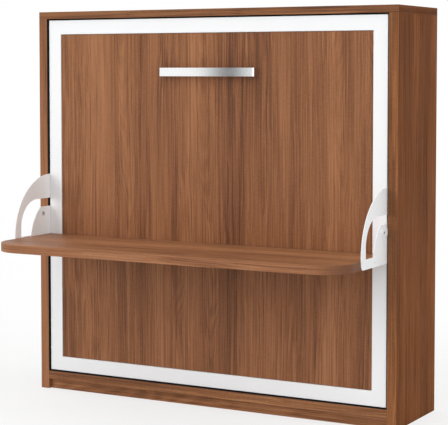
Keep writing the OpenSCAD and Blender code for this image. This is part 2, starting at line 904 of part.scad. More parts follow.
// Flat-headed bolt, flush with the plate's inner face, with a nut outside the arm
module desk_plate_bolts() {
    socket_d = 10;
    color(ZINC) placed() on_both_sides() {
        difference() {
            union() {
                side_pin(plate_off + plate_t - bolt_head_t, bolt_head_t, bolt_head_d,
                         plate_bolt);
                side_pin(arm_off - nut_t, plate_t + arm_t + nut_t - bolt_head_t / 2, bolt_d,
                         plate_bolt);
            }
            side_pin(plate_off + plate_t - bolt_head_t / 2, bolt_head_t, socket_d, plate_bolt);
        }
        difference() {
            side_pin(arm_off - nut_t, nut_t, nut_d, plate_bolt);
            side_pin(arm_off - nut_t - EPS, nut_t + 2 * EPS, bolt_d, plate_bolt);
        }
    }
}

module desk_screws() {
    color(WHITE) placed() on_both_sides()
        for (p = desk_screws_at) side_pin(plate_off, desk_screw_l, desk_screw_d, p);
}

// Pins on the arms that the upper ends of the parallel rods turn on
module link_pins() {
    color(STEEL) placed() on_both_sides() {
        side_pin(arm_off, rod_off + rod_t + slide_gap - arm_off, rod_pin_d, arm_pivot);
        side_pin(rod_off + rod_t + slide_gap, pin_head_t, pin_head_d, arm_pivot);
    }
}

// ---- Parallel rods, struts and legs ----

module parallel_rod(right) {
    color(ZINC) placed() on_side(right) side_plate(rod_off, rod_t) difference() {
        bar_2d(rod_pivot, arm_pivot, rod_w);
        hole_2d(rod_pivot, rod_pin_d + 2 * play);
        hole_2d(arm_pivot, rod_pin_d + 2 * play);
    }
}

// Draws along -Z from the strut's anchor and leans with the strut
module along_strut() {
    translate([-in_half + strut_off, strut_anchor_at[0], strut_anchor_at[1]])
        rotate([strut_lean, 0, 0]) children();
}

module strut_eye(height) {
    translate([-strut_eye_t / 2, 0, height]) rotate([0, 90, 0])
        cylinder(h = strut_eye_t, d = strut_eye_d);
}

module strut_cylinder(right) {
    color(DARK) placed() on_side(right) along_strut() difference() {
        union() {
            strut_eye(0);
            translate([0, 0, -strut_tail - strut_body_l])
                cylinder(h = strut_body_l, d = strut_d);
            translate([0, 0, -strut_tail]) cylinder(h = strut_tail, d = strut_rod_d);
        }
        translate([0, 0, -strut_tail - strut_body_l + gland_l])
            cylinder(h = strut_body_l - 2 * gland_l, d = strut_d - 2 * strut_wall);
        translate([0, 0, -strut_tail - strut_body_l - EPS])
            cylinder(h = 2 * gland_l, d = strut_rod_d + 2 * play);
        translate([-strut_eye_t, 0, 0]) rotate([0, 90, 0])
            cylinder(h = 2 * strut_eye_t, d = strut_pin_d + 2 * play);
    }
}

// The rod carries its piston inside the cylinder, and its end pin stops just short of the lug
module strut_rod(right) {
    piston_d = strut_d - 2 * strut_wall - 2 * play;
    color(STEEL) placed() on_side(right) along_strut() {
        strut_eye(-strut_closed_l);
        translate([0, 0, -strut_closed_l]) cylinder(h = strut_rod_l, d = strut_rod_d);
        translate([0, 0, -strut_closed_l + strut_rod_l - piston_l])
            cylinder(h = piston_l, d = piston_d);
    }
}

leg_end = leg_pivot[1] - bed_pivot[1] + foot_lift;
foot_grip = 14;

module leg(right) {
    color(DARK) placed() on_side(right) side_plate(leg_off, leg_t) difference() {
        union() {
            hole_2d(leg_pivot, leg_w);
            translate([leg_pivot[0] - leg_w / 2, leg_end + foot_h - foot_grip])
                square([leg_w, leg_pivot[1] - leg_end - foot_h + foot_grip]);
        }
        hole_2d(leg_pivot, leg_pin_d + 2 * play);
    }
}

module foot(right) {
    wall = 1.25;
    color(RUBBER) placed() on_side(right) difference() {
        side_plate(leg_off - wall, leg_t + 2 * wall)
            translate([leg_pivot[0] - leg_w / 2 - 2 * wall, leg_end])
                square([leg_w + 4 * wall, foot_h]);
        side_plate(leg_off, leg_t)
            translate([leg_pivot[0] - leg_w / 2, leg_end + foot_h - foot_grip])
                square([leg_w, foot_grip + EPS]);
    }
}

// ---- Nodes ----

side_panel(false);  // side_panel_left
side_panel(true);  // side_panel_right
top_board();
bottom_board();
plinth();
back_panel();
rear_top_rail();
rear_lower_rail();
pivot_plate(false);  // pivot_plate_left
pivot_plate(true);  // pivot_plate_right
pivot_bush(false);  // pivot_bush_left
pivot_bush(true);  // pivot_bush_right
rod_stud(false);  // rod_stud_left
rod_stud(true);  // rod_stud_right
strut_anchor(false);  // strut_anchor_left
strut_anchor(true);  // strut_anchor_right
mechanism_screws();
stop_block(false);  // stop_block_left
stop_block(true);  // stop_block_right
stop_buffers();
frame_top_rail();
frame_bottom_rail();
stile(false);  // frame_left_stile
stile(true);  // frame_right_stile
middle_rail();
front_panel();
panel_cleats();
handle();
handle_screws();
slats(false);  // slats_left
slats(true);  // slats_right
slat_holders();
mattress();
mattress_straps();
pivot_pin(false);  // pivot_pin_left
pivot_pin(true);  // pivot_pin_right
strut_lug(false);  // strut_lug_left
strut_lug(true);  // strut_lug_right
desk_pivot_pins();
leg_pins();
desk_board();
desk_plate(false);  // desk_plate_left
desk_plate(true);  // desk_plate_right
desk_arm(false);  // desk_arm_left
desk_arm(true);  // desk_arm_right
desk_plate_bolts();
desk_screws();
link_pins();
parallel_rod(false);  // parallel_rod_left
parallel_rod(true);  // parallel_rod_right
strut_cylinder(false);  // strut_cylinder_left
strut_cylinder(true);  // strut_cylinder_right
strut_rod(false);  // strut_rod_left
strut_rod(true);  // strut_rod_right
leg(false);  // leg_left
leg(true);  // leg_right
foot(false);  // foot_left
foot(true);  // foot_right
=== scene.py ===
"""Looks of a walnut wall bed whose desk hangs across its white-framed front.

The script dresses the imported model. Lengths are in metres in the model's own frame: x runs to the
right seen from the front, y runs towards the wall, z runs up from the floor, and the bed is closed.
"""

from __future__ import annotations

import json
import logging
import math
from collections.abc import Iterable, Sequence
from dataclasses import dataclass
from enum import Enum
from itertools import product
from typing import Any, ClassVar

import bmesh
import bpy
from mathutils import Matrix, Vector

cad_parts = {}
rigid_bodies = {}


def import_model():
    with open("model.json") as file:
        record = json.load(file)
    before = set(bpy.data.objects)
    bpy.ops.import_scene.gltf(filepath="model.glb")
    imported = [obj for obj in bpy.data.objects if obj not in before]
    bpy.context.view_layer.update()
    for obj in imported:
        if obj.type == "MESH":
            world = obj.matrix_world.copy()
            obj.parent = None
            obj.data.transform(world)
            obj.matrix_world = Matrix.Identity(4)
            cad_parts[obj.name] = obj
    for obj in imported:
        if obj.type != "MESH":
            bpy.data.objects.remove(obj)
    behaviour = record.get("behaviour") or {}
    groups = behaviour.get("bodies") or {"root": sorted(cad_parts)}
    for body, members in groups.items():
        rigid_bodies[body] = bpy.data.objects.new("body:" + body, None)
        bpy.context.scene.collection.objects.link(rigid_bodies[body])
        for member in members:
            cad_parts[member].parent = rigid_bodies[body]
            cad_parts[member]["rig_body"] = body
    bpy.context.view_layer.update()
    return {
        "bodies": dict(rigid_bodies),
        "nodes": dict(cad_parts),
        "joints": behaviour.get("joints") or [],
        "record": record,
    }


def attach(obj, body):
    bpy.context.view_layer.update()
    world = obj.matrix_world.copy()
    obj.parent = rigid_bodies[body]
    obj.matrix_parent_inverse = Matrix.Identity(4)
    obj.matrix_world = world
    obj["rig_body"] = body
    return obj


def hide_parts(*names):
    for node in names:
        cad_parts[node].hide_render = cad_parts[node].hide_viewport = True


LOG = logging.getLogger("wall_bed")
SIDES = ("left", "right")
NUMBER, COUNT, VECTOR = "NodeSocketFloat", "NodeSocketInt", "NodeSocketVector"
LEFTWARD, RIGHTWARD = Vector((-1.0, 0.0, 0.0)), Vector((1.0, 0.0, 0.0))
FORWARD, BACKWARD = Vector((0.0, -1.0, 0.0)), Vector((0.0, 1.0, 0.0))
Colour = tuple[float, float, float, float]
Triple = tuple[float, float, float]


def colour(code: str) -> Colour:
    """Turns a written colour into the linear values that a shader takes.

    Args:
        code: Six hexadecimal digits of an sRGB colour.

    Returns:
        Linear red, green and blue, with an alpha of one.
    """
    parts = [int(code[at:at + 2], 16) / 255 for at in (0, 2, 4)]
    linear = [p / 12.92 if p <= 0.04045 else ((p + 0.055) / 1.055) ** 2.4 for p in parts]
    return (linear[0], linear[1], linear[2], 1.0)


def deepened(shade: Colour) -> Colour:
    """Returns a darker copy of a colour: painted shade in the gaps of a weave, and the darker tone of marks
    on metal.
    """
    return (shade[0] * 0.72, shade[1] * 0.72, shade[2] * 0.72, 1.0)


class Wiring:
    """Adds the nodes of one node tree and joins their sockets."""

    def __init__(self, tree: bpy.types.NodeTree) -> None:
        """Starts on a node tree."""
        self.tree = tree

    def feed(self, socket: bpy.types.NodeSocket, value: Any) -> None:
        """Links a socket to another socket, or sets it to a plain value."""
        if isinstance(value, bpy.types.NodeSocket):
            self.tree.links.new(value, socket)
        else:
            socket.default_value = value

    def add(self, kind: str, sockets: dict[Any, Any] | None = None, **settings: Any) -> bpy.types.Node:
        """Adds a node.

        Args:
            kind: The node's type.
            sockets: Values or sockets for its inputs, by name or number.
            **settings: The node's own properties.

        Returns:
            The new node.
        """
        node = self.tree.nodes.new(kind)
        for name, value in settings.items():
            setattr(node, name, value)
        for name, value in (sockets or {}).items():
            self.feed(node.inputs[name], value)
        return node

    def calc(self, operation: str, *values: Any, clamp: bool = False) -> bpy.types.NodeSocket:
        """Adds a math node and returns its result."""
        return self.made("ShaderNodeMath", dict(enumerate(values)), operation=operation, use_clamp=clamp)

    def vector(self, operation: str, *values: Any, scale: Any = None) -> bpy.types.NodeSocket:
        """Adds a vector math node and returns its vector, or its number for a dot product."""
        sockets: dict[Any, Any] = dict(enumerate(values))
        if scale is not None:
            sockets["Scale"] = scale
        node = self.add("ShaderNodeVectorMath", sockets, operation=operation)
        return node.outputs["Value" if operation == "DOT_PRODUCT" else "Vector"]

    def made(self, kind: str, sockets: dict[Any, Any] | None = None, **settings: Any) -> bpy.types.NodeSocket:
        """Adds a node as add does, and returns its first output."""
        return self.add(kind, sockets, **settings).outputs[0]

    def noise(self, vector: Any, scale: float, detail: float = 2.0, roughness: float = 0.5,
              stretch: Triple | None = None) -> bpy.types.NodeSocket:
        """Adds a noise texture.

        Args:
            vector: Where the texture is read.
            scale: How many waves it has in a metre.
            detail: How many finer layers it has.
            roughness: How strong each finer layer is.
            stretch: What each part of the vector is multiplied by first.

        Returns:
            The texture's value from 0 to 1.
        """
        if stretch is not None:
            vector = self.vector("MULTIPLY", vector, stretch)
        sockets = {"Vector": vector, "Scale": scale, "Detail": detail, "Roughness": roughness}
        return self.made("ShaderNodeTexNoise", sockets)

    def spread(self, value: Any, low: float, high: float, to_low: float = 0.0, to_high: float = 1.0) -> Any:
        """Maps a value from one range to another, held within the second."""
        sockets = {"Value": value, "From Min": low, "From Max": high, "To Min": to_low, "To Max": to_high}
        return self.made("ShaderNodeMapRange", sockets, clamp=True)

    def mix(self, factor: Any, first: Any, second: Any) -> bpy.types.NodeSocket:
        """Adds a colour mix node and returns its colour."""
        return self.add("ShaderNodeMix", {0: factor, 6: first, 7: second}, data_type="RGBA").outputs[2]

    def laid(self, mask: Any, share: float, under: Any, over: Colour) -> bpy.types.NodeSocket:
        """Lays a colour over another where a mask shows, up to a share, and returns the result."""
        return self.mix(self.calc("MULTIPLY", mask, share), under, over)

    def ramp(self, factor: Any, stops: Sequence[tuple[float, Colour]]) -> bpy.types.NodeSocket:
        """Adds a colour ramp with these stops and returns its colour."""
        node = self.add("ShaderNodeValToRGB", {"Fac": factor})
        elements = node.color_ramp.elements
        while len(elements) < len(stops):
            elements.new(0.5)
        for element, (place, shade) in zip(elements, stops):
            element.position = place
            element.color = shade
        return node.outputs[0]

    def coords(self) -> bpy.types.NodeSocket:
        """Returns the object's own coordinates."""
        return self.add("ShaderNodeTexCoord").outputs["Object"]

    def parts(self, vector: Any) -> Any:
        """Returns the parts of a vector, by the names X, Y and Z."""
        return self.add("ShaderNodeSeparateXYZ", {"Vector": vector}).outputs

    def joined(self, **parts: Any) -> bpy.types.NodeSocket:
        """Returns the vector that has these parts."""
        return self.made("ShaderNodeCombineXYZ", parts)

    def attribute(self, name: str) -> bpy.types.NodeSocket:
        """Returns the piece's attribute of this name."""
        return self.add("ShaderNodeAttribute", attribute_name=name).outputs["Fac"]

    def normal(self) -> bpy.types.NodeSocket:
        """Returns the direction that the surface looks in."""
        return self.add("ShaderNodeNewGeometry").outputs["Normal"]


class Effect:
    """A shader node group that more than one finish places, each with its own values."""

    title: ClassVar[str] = ""
    inputs: ClassVar[dict[str, str]] = {}
    outputs: ClassVar[dict[str, str]] = {}

    @classmethod
    def tree(cls) -> bpy.types.NodeTree:
        """Returns the group, which is built the first time that it is asked for."""
        held = bpy.data.node_groups.get(cls.title)
        if held is not None:
            return held
        tree = bpy.data.node_groups.new(cls.title, "ShaderNodeTree")
        for name, kind in cls.inputs.items():
            tree.interface.new_socket(name, in_out="INPUT", socket_type=kind)
        for name, kind in cls.outputs.items():
            tree.interface.new_socket(name, in_out="OUTPUT", socket_type=kind)
        wiring = Wiring(tree)
        source = wiring.add("NodeGroupInput").outputs
        sink = wiring.add("NodeGroupOutput").inputs
        for name, socket in cls.wire(wiring, source).items():
            tree.links.new(socket, sink[name])
        return tree

    @classmethod
    def wire(cls, wiring: Wiring, source: Any) -> dict[str, bpy.types.NodeSocket]:
        """Builds the group's nodes and returns the socket of each output."""
        raise NotImplementedError

    @classmethod
    def place(cls, wiring: Wiring, **values: Any) -> Any:
        """Places the group in a tree.

        Args:
            wiring: The tree to place it in.
            **values: A value or socket for each input.

        Returns:
            The outputs of the placed group.
        """
        return wiring.add("ShaderNodeGroup", values, node_tree=cls.tree()).outputs


class VeneerGrain(Effect):
    """Figure, streaks and pores of a flat-sawn veneer whose grain runs along z."""

    title = "Veneer grain"
    inputs = {"Vector": VECTOR, "Figure": NUMBER}
    outputs = {"Tone": NUMBER, "Streaks": NUMBER, "Pores": NUMBER}
    column_w: ClassVar[float] = 0.12
    arch_bend: ClassVar[float] = 900.0
    weights: ClassVar[dict[str, float]] = {"arches": 0.07, "broad": 0.48, "middle": 0.11, "chatter": 0.1,
                                           "fine": 0.23}

    @classmethod
    def wire(cls, wiring: Wiring, source: Any) -> dict[str, bpy.types.NodeSocket]:
        """Draws arched growth lines in upright columns, with wandering streaks, lines and pores."""
        place, calc = source["Vector"], wiring.calc
        parts = wiring.parts(place)
        across = calc("ADD", parts["X"], parts["Y"])
        long_waves = wiring.noise(place, 3.0, stretch=(1.0, 1.0, 0.3))
        waver = wiring.noise(place, 17.0, stretch=(1.0, 1.0, 0.12))
        column = calc("PINGPONG", calc("MULTIPLY_ADD", long_waves, 0.3, across), cls.column_w)
        rise = calc("MULTIPLY_ADD", parts["Z"], source["Figure"], calc("MULTIPLY", waver, 1.5))
        arches = calc("MULTIPLY_ADD", calc("MULTIPLY", column, column), cls.arch_bend, rise)
        growth = calc("MULTIPLY_ADD", calc("SINE", calc("MULTIPLY", arches, math.tau)), 0.5, 0.5)
        shown = wiring.spread(wiring.noise(place, 3.4, 1.0, stretch=(1.0, 1.0, 0.15)), 0.46, 0.62)
        wander = calc("MULTIPLY_ADD", long_waves, 0.05, calc("MULTIPLY_ADD", waver, 0.016, -0.033))
        drawn = wiring.vector("ADD", place, wiring.joined(X=wander, Y=wander))
        broad = wiring.noise(drawn, 8.0, stretch=(1.0, 1.0, 0.045))
        middle = wiring.noise(drawn, 38.0, stretch=(1.0, 1.0, 0.018))
        lines = wiring.noise(drawn, 135.0, roughness=0.6, stretch=(1.0, 1.0, 0.01))
        patches = wiring.noise(place, 6.5, stretch=(1.0, 1.0, 0.14))
        contrast = calc("MULTIPLY", wiring.spread(patches, 0.38, 0.62, 0.72, 1.12), 2.6)
        fine = calc("MULTIPLY_ADD", calc("SUBTRACT", lines, 0.5), contrast, 0.5)
        chatter = wiring.noise(place, 150.0, roughness=0.55, stretch=(0.3, 0.3, 1.0))
        tone: Any = calc("MULTIPLY", broad, cls.weights["broad"])
        tone = calc("MULTIPLY_ADD", calc("MULTIPLY", growth, shown), cls.weights["arches"], tone)
        tone = calc("MULTIPLY_ADD", middle, cls.weights["middle"], tone)
        tone = calc("MULTIPLY_ADD", chatter, cls.weights["chatter"], tone)
        tone = calc("MULTIPLY_ADD", fine, cls.weights["fine"], tone, clamp=True)
        pores = wiring.spread(wiring.noise(place, 820.0, stretch=(1.0, 1.0, 0.035)), 0.58, 0.7)
        return {"Tone": tone, "Streaks": fine, "Pores": pores}


class EdgeWear(Effect):
    """Marks the rubbed edges of a piece, broken up by noise."""

    title = "Edge wear"
    inputs = {"Vector": VECTOR, "Radius": NUMBER}
    outputs = {"Mask": NUMBER}

    @classmethod
    def wire(cls, wiring: Wiring, source: Any) -> dict[str, bpy.types.NodeSocket]:
        """Compares the surface's normal with one rounded over the radius."""
        rounded = wiring.made("ShaderNodeBevel", {"Radius": source["Radius"]}, samples=4)
        bend = wiring.calc("SUBTRACT", 1.0, wiring.vector("DOT_PRODUCT", rounded, wiring.normal()))
        patches = wiring.spread(wiring.noise(source["Vector"], 38.0, 4.0, 0.65), 0.35, 0.7, 0.25, 1.0)
        return {"Mask": wiring.calc("MULTIPLY", wiring.spread(bend, 0.02, 0.22), patches, clamp=True)}


class Handling(Effect):
    """Slow changes of gloss where hands and cloths have passed, with a little dust on level faces."""

    title = "Handling and dust"
    inputs = {"Vector": VECTOR, "Scale": NUMBER}
    outputs = {"Smears": NUMBER, "Dust": NUMBER}

    @classmethod
    def wire(cls, wiring: Wiring, source: Any) -> dict[str, bpy.types.NodeSocket]:
        """Mixes two noises, and keeps the dust to faces that look up."""
        smears = wiring.made("ShaderNodeTexNoise", {"Vector": source["Vector"], "Scale": source["Scale"],
                                                    "Detail": 4.0, "Roughness": 0.6, "Distortion": 0.8})
        up = wiring.calc("MAXIMUM", wiring.parts(wiring.normal())["Z"], 0.0)
        specks = wiring.spread(wiring.noise(source["Vector"], 420.0, roughness=0.6), 0.42, 0.72)
        return {"Smears": smears, "Dust": wiring.calc("MULTIPLY", up, specks, clamp=True)}


class BrushMarks(Effect):
    """Long fine scratches along x, as a belt leaves on sheet metal."""

    title = "Brush marks"
    inputs = {"Vector": VECTOR}
    outputs = {"Lines": NUMBER}

    @classmethod
    def wire(cls, wiring: Wiring, source: Any) -> dict[str, bpy.types.NodeSocket]:
        """Stretches a fine noise along x and adds a coarser one."""
        fine = wiring.noise(source["Vector"], 2600.0, 3.0, 0.6, stretch=(0.01, 1.0, 1.0))
        coarse = wiring.noise(source["Vector"], 500.0, stretch=(0.02, 1.0, 1.0))
        return {"Lines": wiring.calc("MULTIPLY_ADD", coarse, 0.35, wiring.calc("MULTIPLY", fine, 0.65))}


class Weave(Effect):
    """Over-and-under threads of a plain cloth in the plane of x and y."""

    title = "Plain weave"
    inputs = {"Vector": VECTOR, "Pitch": NUMBER}
    outputs = {"Height": NUMBER, "Slubs": NUMBER}

    @classmethod
    def wire(cls, wiring: Wiring, source: Any) -> dict[str, bpy.types.NodeSocket]:
        """Crosses two sets of threads and thickens some of them."""
        parts = wiring.parts(source["Vector"])
        turns = [wiring.calc("DIVIDE", parts[axis], source["Pitch"]) for axis in ("X", "Y")]
        waves = [wiring.calc("SINE", wiring.calc("MULTIPLY", turn, math.tau)) for turn in turns]
        height = wiring.calc("MULTIPLY_ADD", wiring.calc("MULTIPLY", *waves), 0.5, 0.5)
        return {"Height": height, "Slubs": wiring.noise(source["Vector"], 300.0, stretch=(1.0, 0.08, 1.0))}


class Grain(Enum):
    """The way in which a board's grain runs."""

    UPRIGHT = (0.0, 0.0, 0.0)
    LEVEL = (0.0, math.pi / 2, 0.0)


@dataclass(frozen=True)
class Finish:
    """A surface finish: a material built from nodes the first time that it is asked for."""

    title: str
    shade: str

    def material(self) -> bpy.types.Material:
        """Returns the finish's material."""
        held = bpy.data.materials.get(self.title)
        if held is not None:
            return held
        made = bpy.data.materials.new(self.title)
        made.use_nodes = True
        made.node_tree.nodes.clear()
        wiring = Wiring(made.node_tree)
        shader = wiring.add("ShaderNodeBsdfPrincipled")
        wiring.add("ShaderNodeOutputMaterial", {"Surface": shader.outputs[0]})
        made.diffuse_color = colour(self.shade)
        self.wire(wiring, shader)
        return made

    def wire(self, wiring: Wiring, shader: bpy.types.Node) -> None:
        """Feeds the shader's sockets."""
        raise NotImplementedError

    @staticmethod
    def bump(wiring: Wiring, shader: bpy.types.Node, height: Any, depth: float, strength: float) -> None:
        """Feeds the shader's normal from a height.

        Args:
            wiring: The material's tree.
            shader: The shader that gets the normal.
            height: A height from 0 to 1.
            depth: What a height of one stands for, in metres.
            strength: How much of the bump shows.
        """
        sockets = {"Height": height, "Distance": depth, "Strength": strength}
        wiring.feed(shader.inputs["Normal"], wiring.made("ShaderNodeBump", sockets))

    @staticmethod
    def gloss(wiring: Wiring, smears: Any, low: float, high: float) -> bpy.types.NodeSocket:
        """Returns a roughness that smears carry from a low value to a high one."""
        return wiring.spread(smears, 0.3, 0.7, low, high)


@dataclass(frozen=True)
class WalnutLaminate(Finish):
    """Satin walnut laminate with growth lines, streaks, pores and slightly rubbed edges."""

    grain: Grain = Grain.UPRIGHT
    light: str = "a06c48"
    dark: str = "5a3520"
    roughness: float = 0.46
    gleam: float = 0.25
    middle: float = 0.48
    spread: float = 0.17
    banded: bool = False
    board_shift: Triple = (1.7, 0.9, 2.6)

    def wire(self, wiring: Wiring, shader: bpy.types.Node) -> None:
        """Colours the veneer by its grain and gives its pores a little depth."""
        coords = wiring.coords()
        laid_out = self.lay_out(wiring, coords)
        shift = wiring.vector("SCALE", self.board_shift, scale=wiring.attribute("board"))
        grain = VeneerGrain.place(wiring, Vector=wiring.vector("ADD", laid_out, shift), Figure=-7.0)
        shades = (self.dark, self.shade, self.light)
        veneer = wiring.ramp(grain["Tone"], [(self.middle + way * self.spread, colour(shade))
                                             for way, shade in zip((-1, 0, 1), shades)])
        if self.banded:
            # Painted shade: the band darkens where the board looks to the right.
            veneer = wiring.mix(wiring.attribute("right_painted_shade"), veneer, colour(self.dark))
        veneer = wiring.laid(grain["Pores"], 0.22, veneer, colour("4a2c1d"))
        wear = EdgeWear.place(wiring, Vector=coords, Radius=0.0016)["Mask"]
        veneer = wiring.laid(wear, 0.3, veneer, colour("b98e6b"))
        handling = Handling.place(wiring, Vector=coords, Scale=5.0)
        veneer = wiring.laid(handling["Dust"], 0.03, veneer, colour("d8d2c8"))
        wiring.feed(shader.inputs["Base Color"], veneer)
        shader.inputs["Specular IOR Level"].default_value = self.gleam
        gloss = self.gloss(wiring, handling["Smears"], self.roughness - 0.05, self.roughness + 0.06)
        wiring.feed(shader.inputs["Roughness"], wiring.calc("MULTIPLY_ADD", grain["Pores"], 0.12, gloss))
        streaks = wiring.calc("MULTIPLY", grain["Streaks"], 0.3)
        self.bump(wiring, shader, wiring.calc("MULTIPLY_ADD", grain["Pores"], -0.7, streaks), 0.0002, 0.35)

    def lay_out(self, wiring: Wiring, coords: Any) -> bpy.types.NodeSocket:
        """Turns the grain along the board, or along the edge that a band follows."""
        if not self.banded:
            return wiring.made("ShaderNodeMapping", {"Vector": coords, "Rotation": self.grain.value})
        parts = wiring.parts(coords)
        return wiring.joined(X=parts["Z"], Z=wiring.calc("MULTIPLY_ADD", parts["Y"], 0.35, parts["X"]))


@dataclass(frozen=True)
class PowderCoat(Finish):
    """Baked powder coat or paint on steel: a soft orange peel, worn a little at the edges."""

    under: str = "c9cdd2"
    roughness: float = 0.38
    peel: float = 0.00006
    wear: float = 0.12

    def wire(self, wiring: Wiring, shader: bpy.types.Node) -> None:
        """Gives the coat its peel, its smears and its edges."""
        coords = wiring.coords()
        handling = Handling.place(wiring, Vector=coords, Scale=7.0)
        edges = EdgeWear.place(wiring, Vector=coords, Radius=0.001)["Mask"]
        coat = wiring.laid(edges, self.wear, colour(self.shade), colour(self.under))
        wiring.feed(shader.inputs["Base Color"], wiring.laid(handling["Dust"], 0.04, coat, colour("b9b3a8")))
        gloss = self.gloss(wiring, handling["Smears"], self.roughness - 0.04, self.roughness + 0.06)
        wiring.feed(shader.inputs["Roughness"], gloss)
        self.bump(wiring, shader, wiring.noise(coords, 950.0, 1.0, 0.4), self.peel, 0.5)


@dataclass(frozen=True)
class BareMetal(Finish):
    """Bare or plated steel with brush marks or a mottled passivation."""

    roughness: float = 0.3
    brushed: float = 1.0
    mottle: float = 0.0

    def wire(self, wiring: Wiring, shader: bpy.types.Node) -> None:
        """Breaks the gloss up along the brush marks."""
        coords = wiring.coords()
        lines = BrushMarks.place(wiring, Vector=coords)["Lines"]
        blotches = wiring.noise(coords, 85.0, 5.0, 0.65)
        shade = colour(self.shade)
        deep = deepened(shade)
        metal = wiring.laid(blotches, self.mottle, shade, deep)
        wiring.feed(shader.inputs["Base Color"], wiring.laid(lines, 0.22 * self.brushed, metal, deep))
        shader.inputs["Metallic"].default_value = 1.0
        spread = 0.12 * max(self.brushed, self.mottle)
        gloss = self.gloss(wiring, lines, self.roughness - spread / 2, self.roughness + spread)
        wiring.feed(shader.inputs["Roughness"], gloss)
        self.bump(wiring, shader, wiring.calc("MULTIPLY", lines, self.brushed), 0.000004, 0.3)


@dataclass(frozen=True)
class Moulded(Finish):
    """Moulded plastic or rubber with a fine spark-eroded texture."""

    roughness: float = 0.55
    texture: float = 0.00008
    bloom: str = "8a8a86"

    def wire(self, wiring: Wiring, shader: bpy.types.Node) -> None:
        """Gives the moulding its texture and a pale bloom on rubbed edges."""
        coords = wiring.coords()
        edges = EdgeWear.place(wiring, Vector=coords, Radius=0.0008)["Mask"]
        handling = Handling.place(wiring, Vector=coords, Scale=30.0)
        bloom = colour(self.bloom)
        tone = wiring.laid(edges, 0.2, colour(self.shade), bloom)
        wiring.feed(shader.inputs["Base Color"], wiring.laid(handling["Dust"], 0.08, tone, bloom))
        gloss = self.gloss(wiring, handling["Smears"], self.roughness - 0.08, self.roughness + 0.08)
        wiring.feed(shader.inputs["Roughness"], gloss)
        self.bump(wiring, shader, wiring.noise(coords, 1400.0, 3.0, 0.6), self.texture, 0.6)


@dataclass(frozen=True)
class BirchPly(Finish):
    """Bent birch slats: pale face veneer along x, with the glue lines of the plies on the edges."""

    plies: int = 7
    thickness: float = 0.008

    def wire(self, wiring: Wiring, shader: bpy.types.Node) -> None:
        """Draws the face grain everywhere and the plies where the face turns away from y."""
        coords = wiring.coords()
        turned = wiring.made("ShaderNodeMapping", {"Vector": coords, "Rotation": Grain.LEVEL.value})
        grain = VeneerGrain.place(wiring, Vector=turned, Figure=2.0)
        face = wiring.ramp(grain["Tone"], ((0.2, colour("b98f5e")), (0.55, colour(self.shade)),
                                           (0.85, colour("ecd3a4"))))
        waves = math.tau * self.plies / self.thickness / 2
        layers = wiring.calc("SINE", wiring.calc("MULTIPLY", wiring.attribute("depth"), waves))
        facing = wiring.calc("ABSOLUTE", wiring.parts(wiring.normal())["Y"])
        edge = wiring.calc("SUBTRACT", 1.0, wiring.spread(facing, 0.5, 0.8))
        glue = wiring.calc("MULTIPLY", wiring.spread(layers, 0.55, 0.8), edge)
        wiring.feed(shader.inputs["Base Color"], wiring.mix(glue, face, colour("8a6238")))
        shader.inputs["Roughness"].default_value = 0.5
        self.bump(wiring, shader, wiring.calc("MULTIPLY", grain["Pores"], -1.0), 0.00015, 0.3)


@dataclass(frozen=True)
class Cloth(Finish):
    """Woven cloth read along the piece's own UV map, which is in metres."""

    pitch: float = 0.0012
    thread: str = "ffffff"
    roughness: float = 0.85
    depth: float = 0.0003

    def wire(self, wiring: Wiring, shader: bpy.types.Node) -> None:
        """Weaves the threads, and darkens the gaps between them with painted shade."""
        plane = wiring.made("ShaderNodeUVMap", uv_map="weave")
        weave = Weave.place(wiring, Vector=plane, Pitch=self.pitch)
        base = colour(self.shade)
        # Painted shade: the gaps between the threads are darker.
        cloth = wiring.laid(weave["Height"], 0.8, deepened(base), base)
        cloth = wiring.laid(weave["Slubs"], 0.18, cloth, colour(self.thread))
        wiring.feed(shader.inputs["Base Color"], cloth)
        shader.inputs["Roughness"].default_value = self.roughness
        shader.inputs["Sheen Weight"].default_value = 0.35
        shader.inputs["Sheen Roughness"].default_value = 0.5
        self.bump(wiring, shader, weave["Height"], self.depth, 0.5)


WALNUT_UPRIGHT = WalnutLaminate("walnut laminate upright", "8c5b3b", light="a6724e", dark="5f3a25")
WALNUT_LEVEL = WalnutLaminate("walnut laminate level", "8f5e3c", light="b07c55", dark="5c3822",
                              grain=Grain.LEVEL, spread=0.15)
# A darker copy of the walnut for the side panels' outer faces: painted shade of the sides away from the front
# light.
WALNUT_OUTSIDE_SHADE = WalnutLaminate("walnut laminate outside with painted shade", "754422", light="8e5932", dark="4c2811",
                                gleam=0.05, roughness=0.55)
# The top board's end faces: grain along the edge, in a darker walnut that is painted shade, like the outer
# faces.
WALNUT_END_SHADE = WalnutLaminate("walnut board end with painted shade", "6c3d1e", light="83502d", dark="452310", gleam=0.05,
                            roughness=0.55, banded=True)
WALNUT_SHADED = WalnutLaminate("walnut laminate shaded", "8f5a33", light="aa7048", dark="603a22")
WALNUT_LINTEL = WalnutLaminate("walnut top edge", "865737", light="a3724d", dark="573620", grain=Grain.LEVEL)
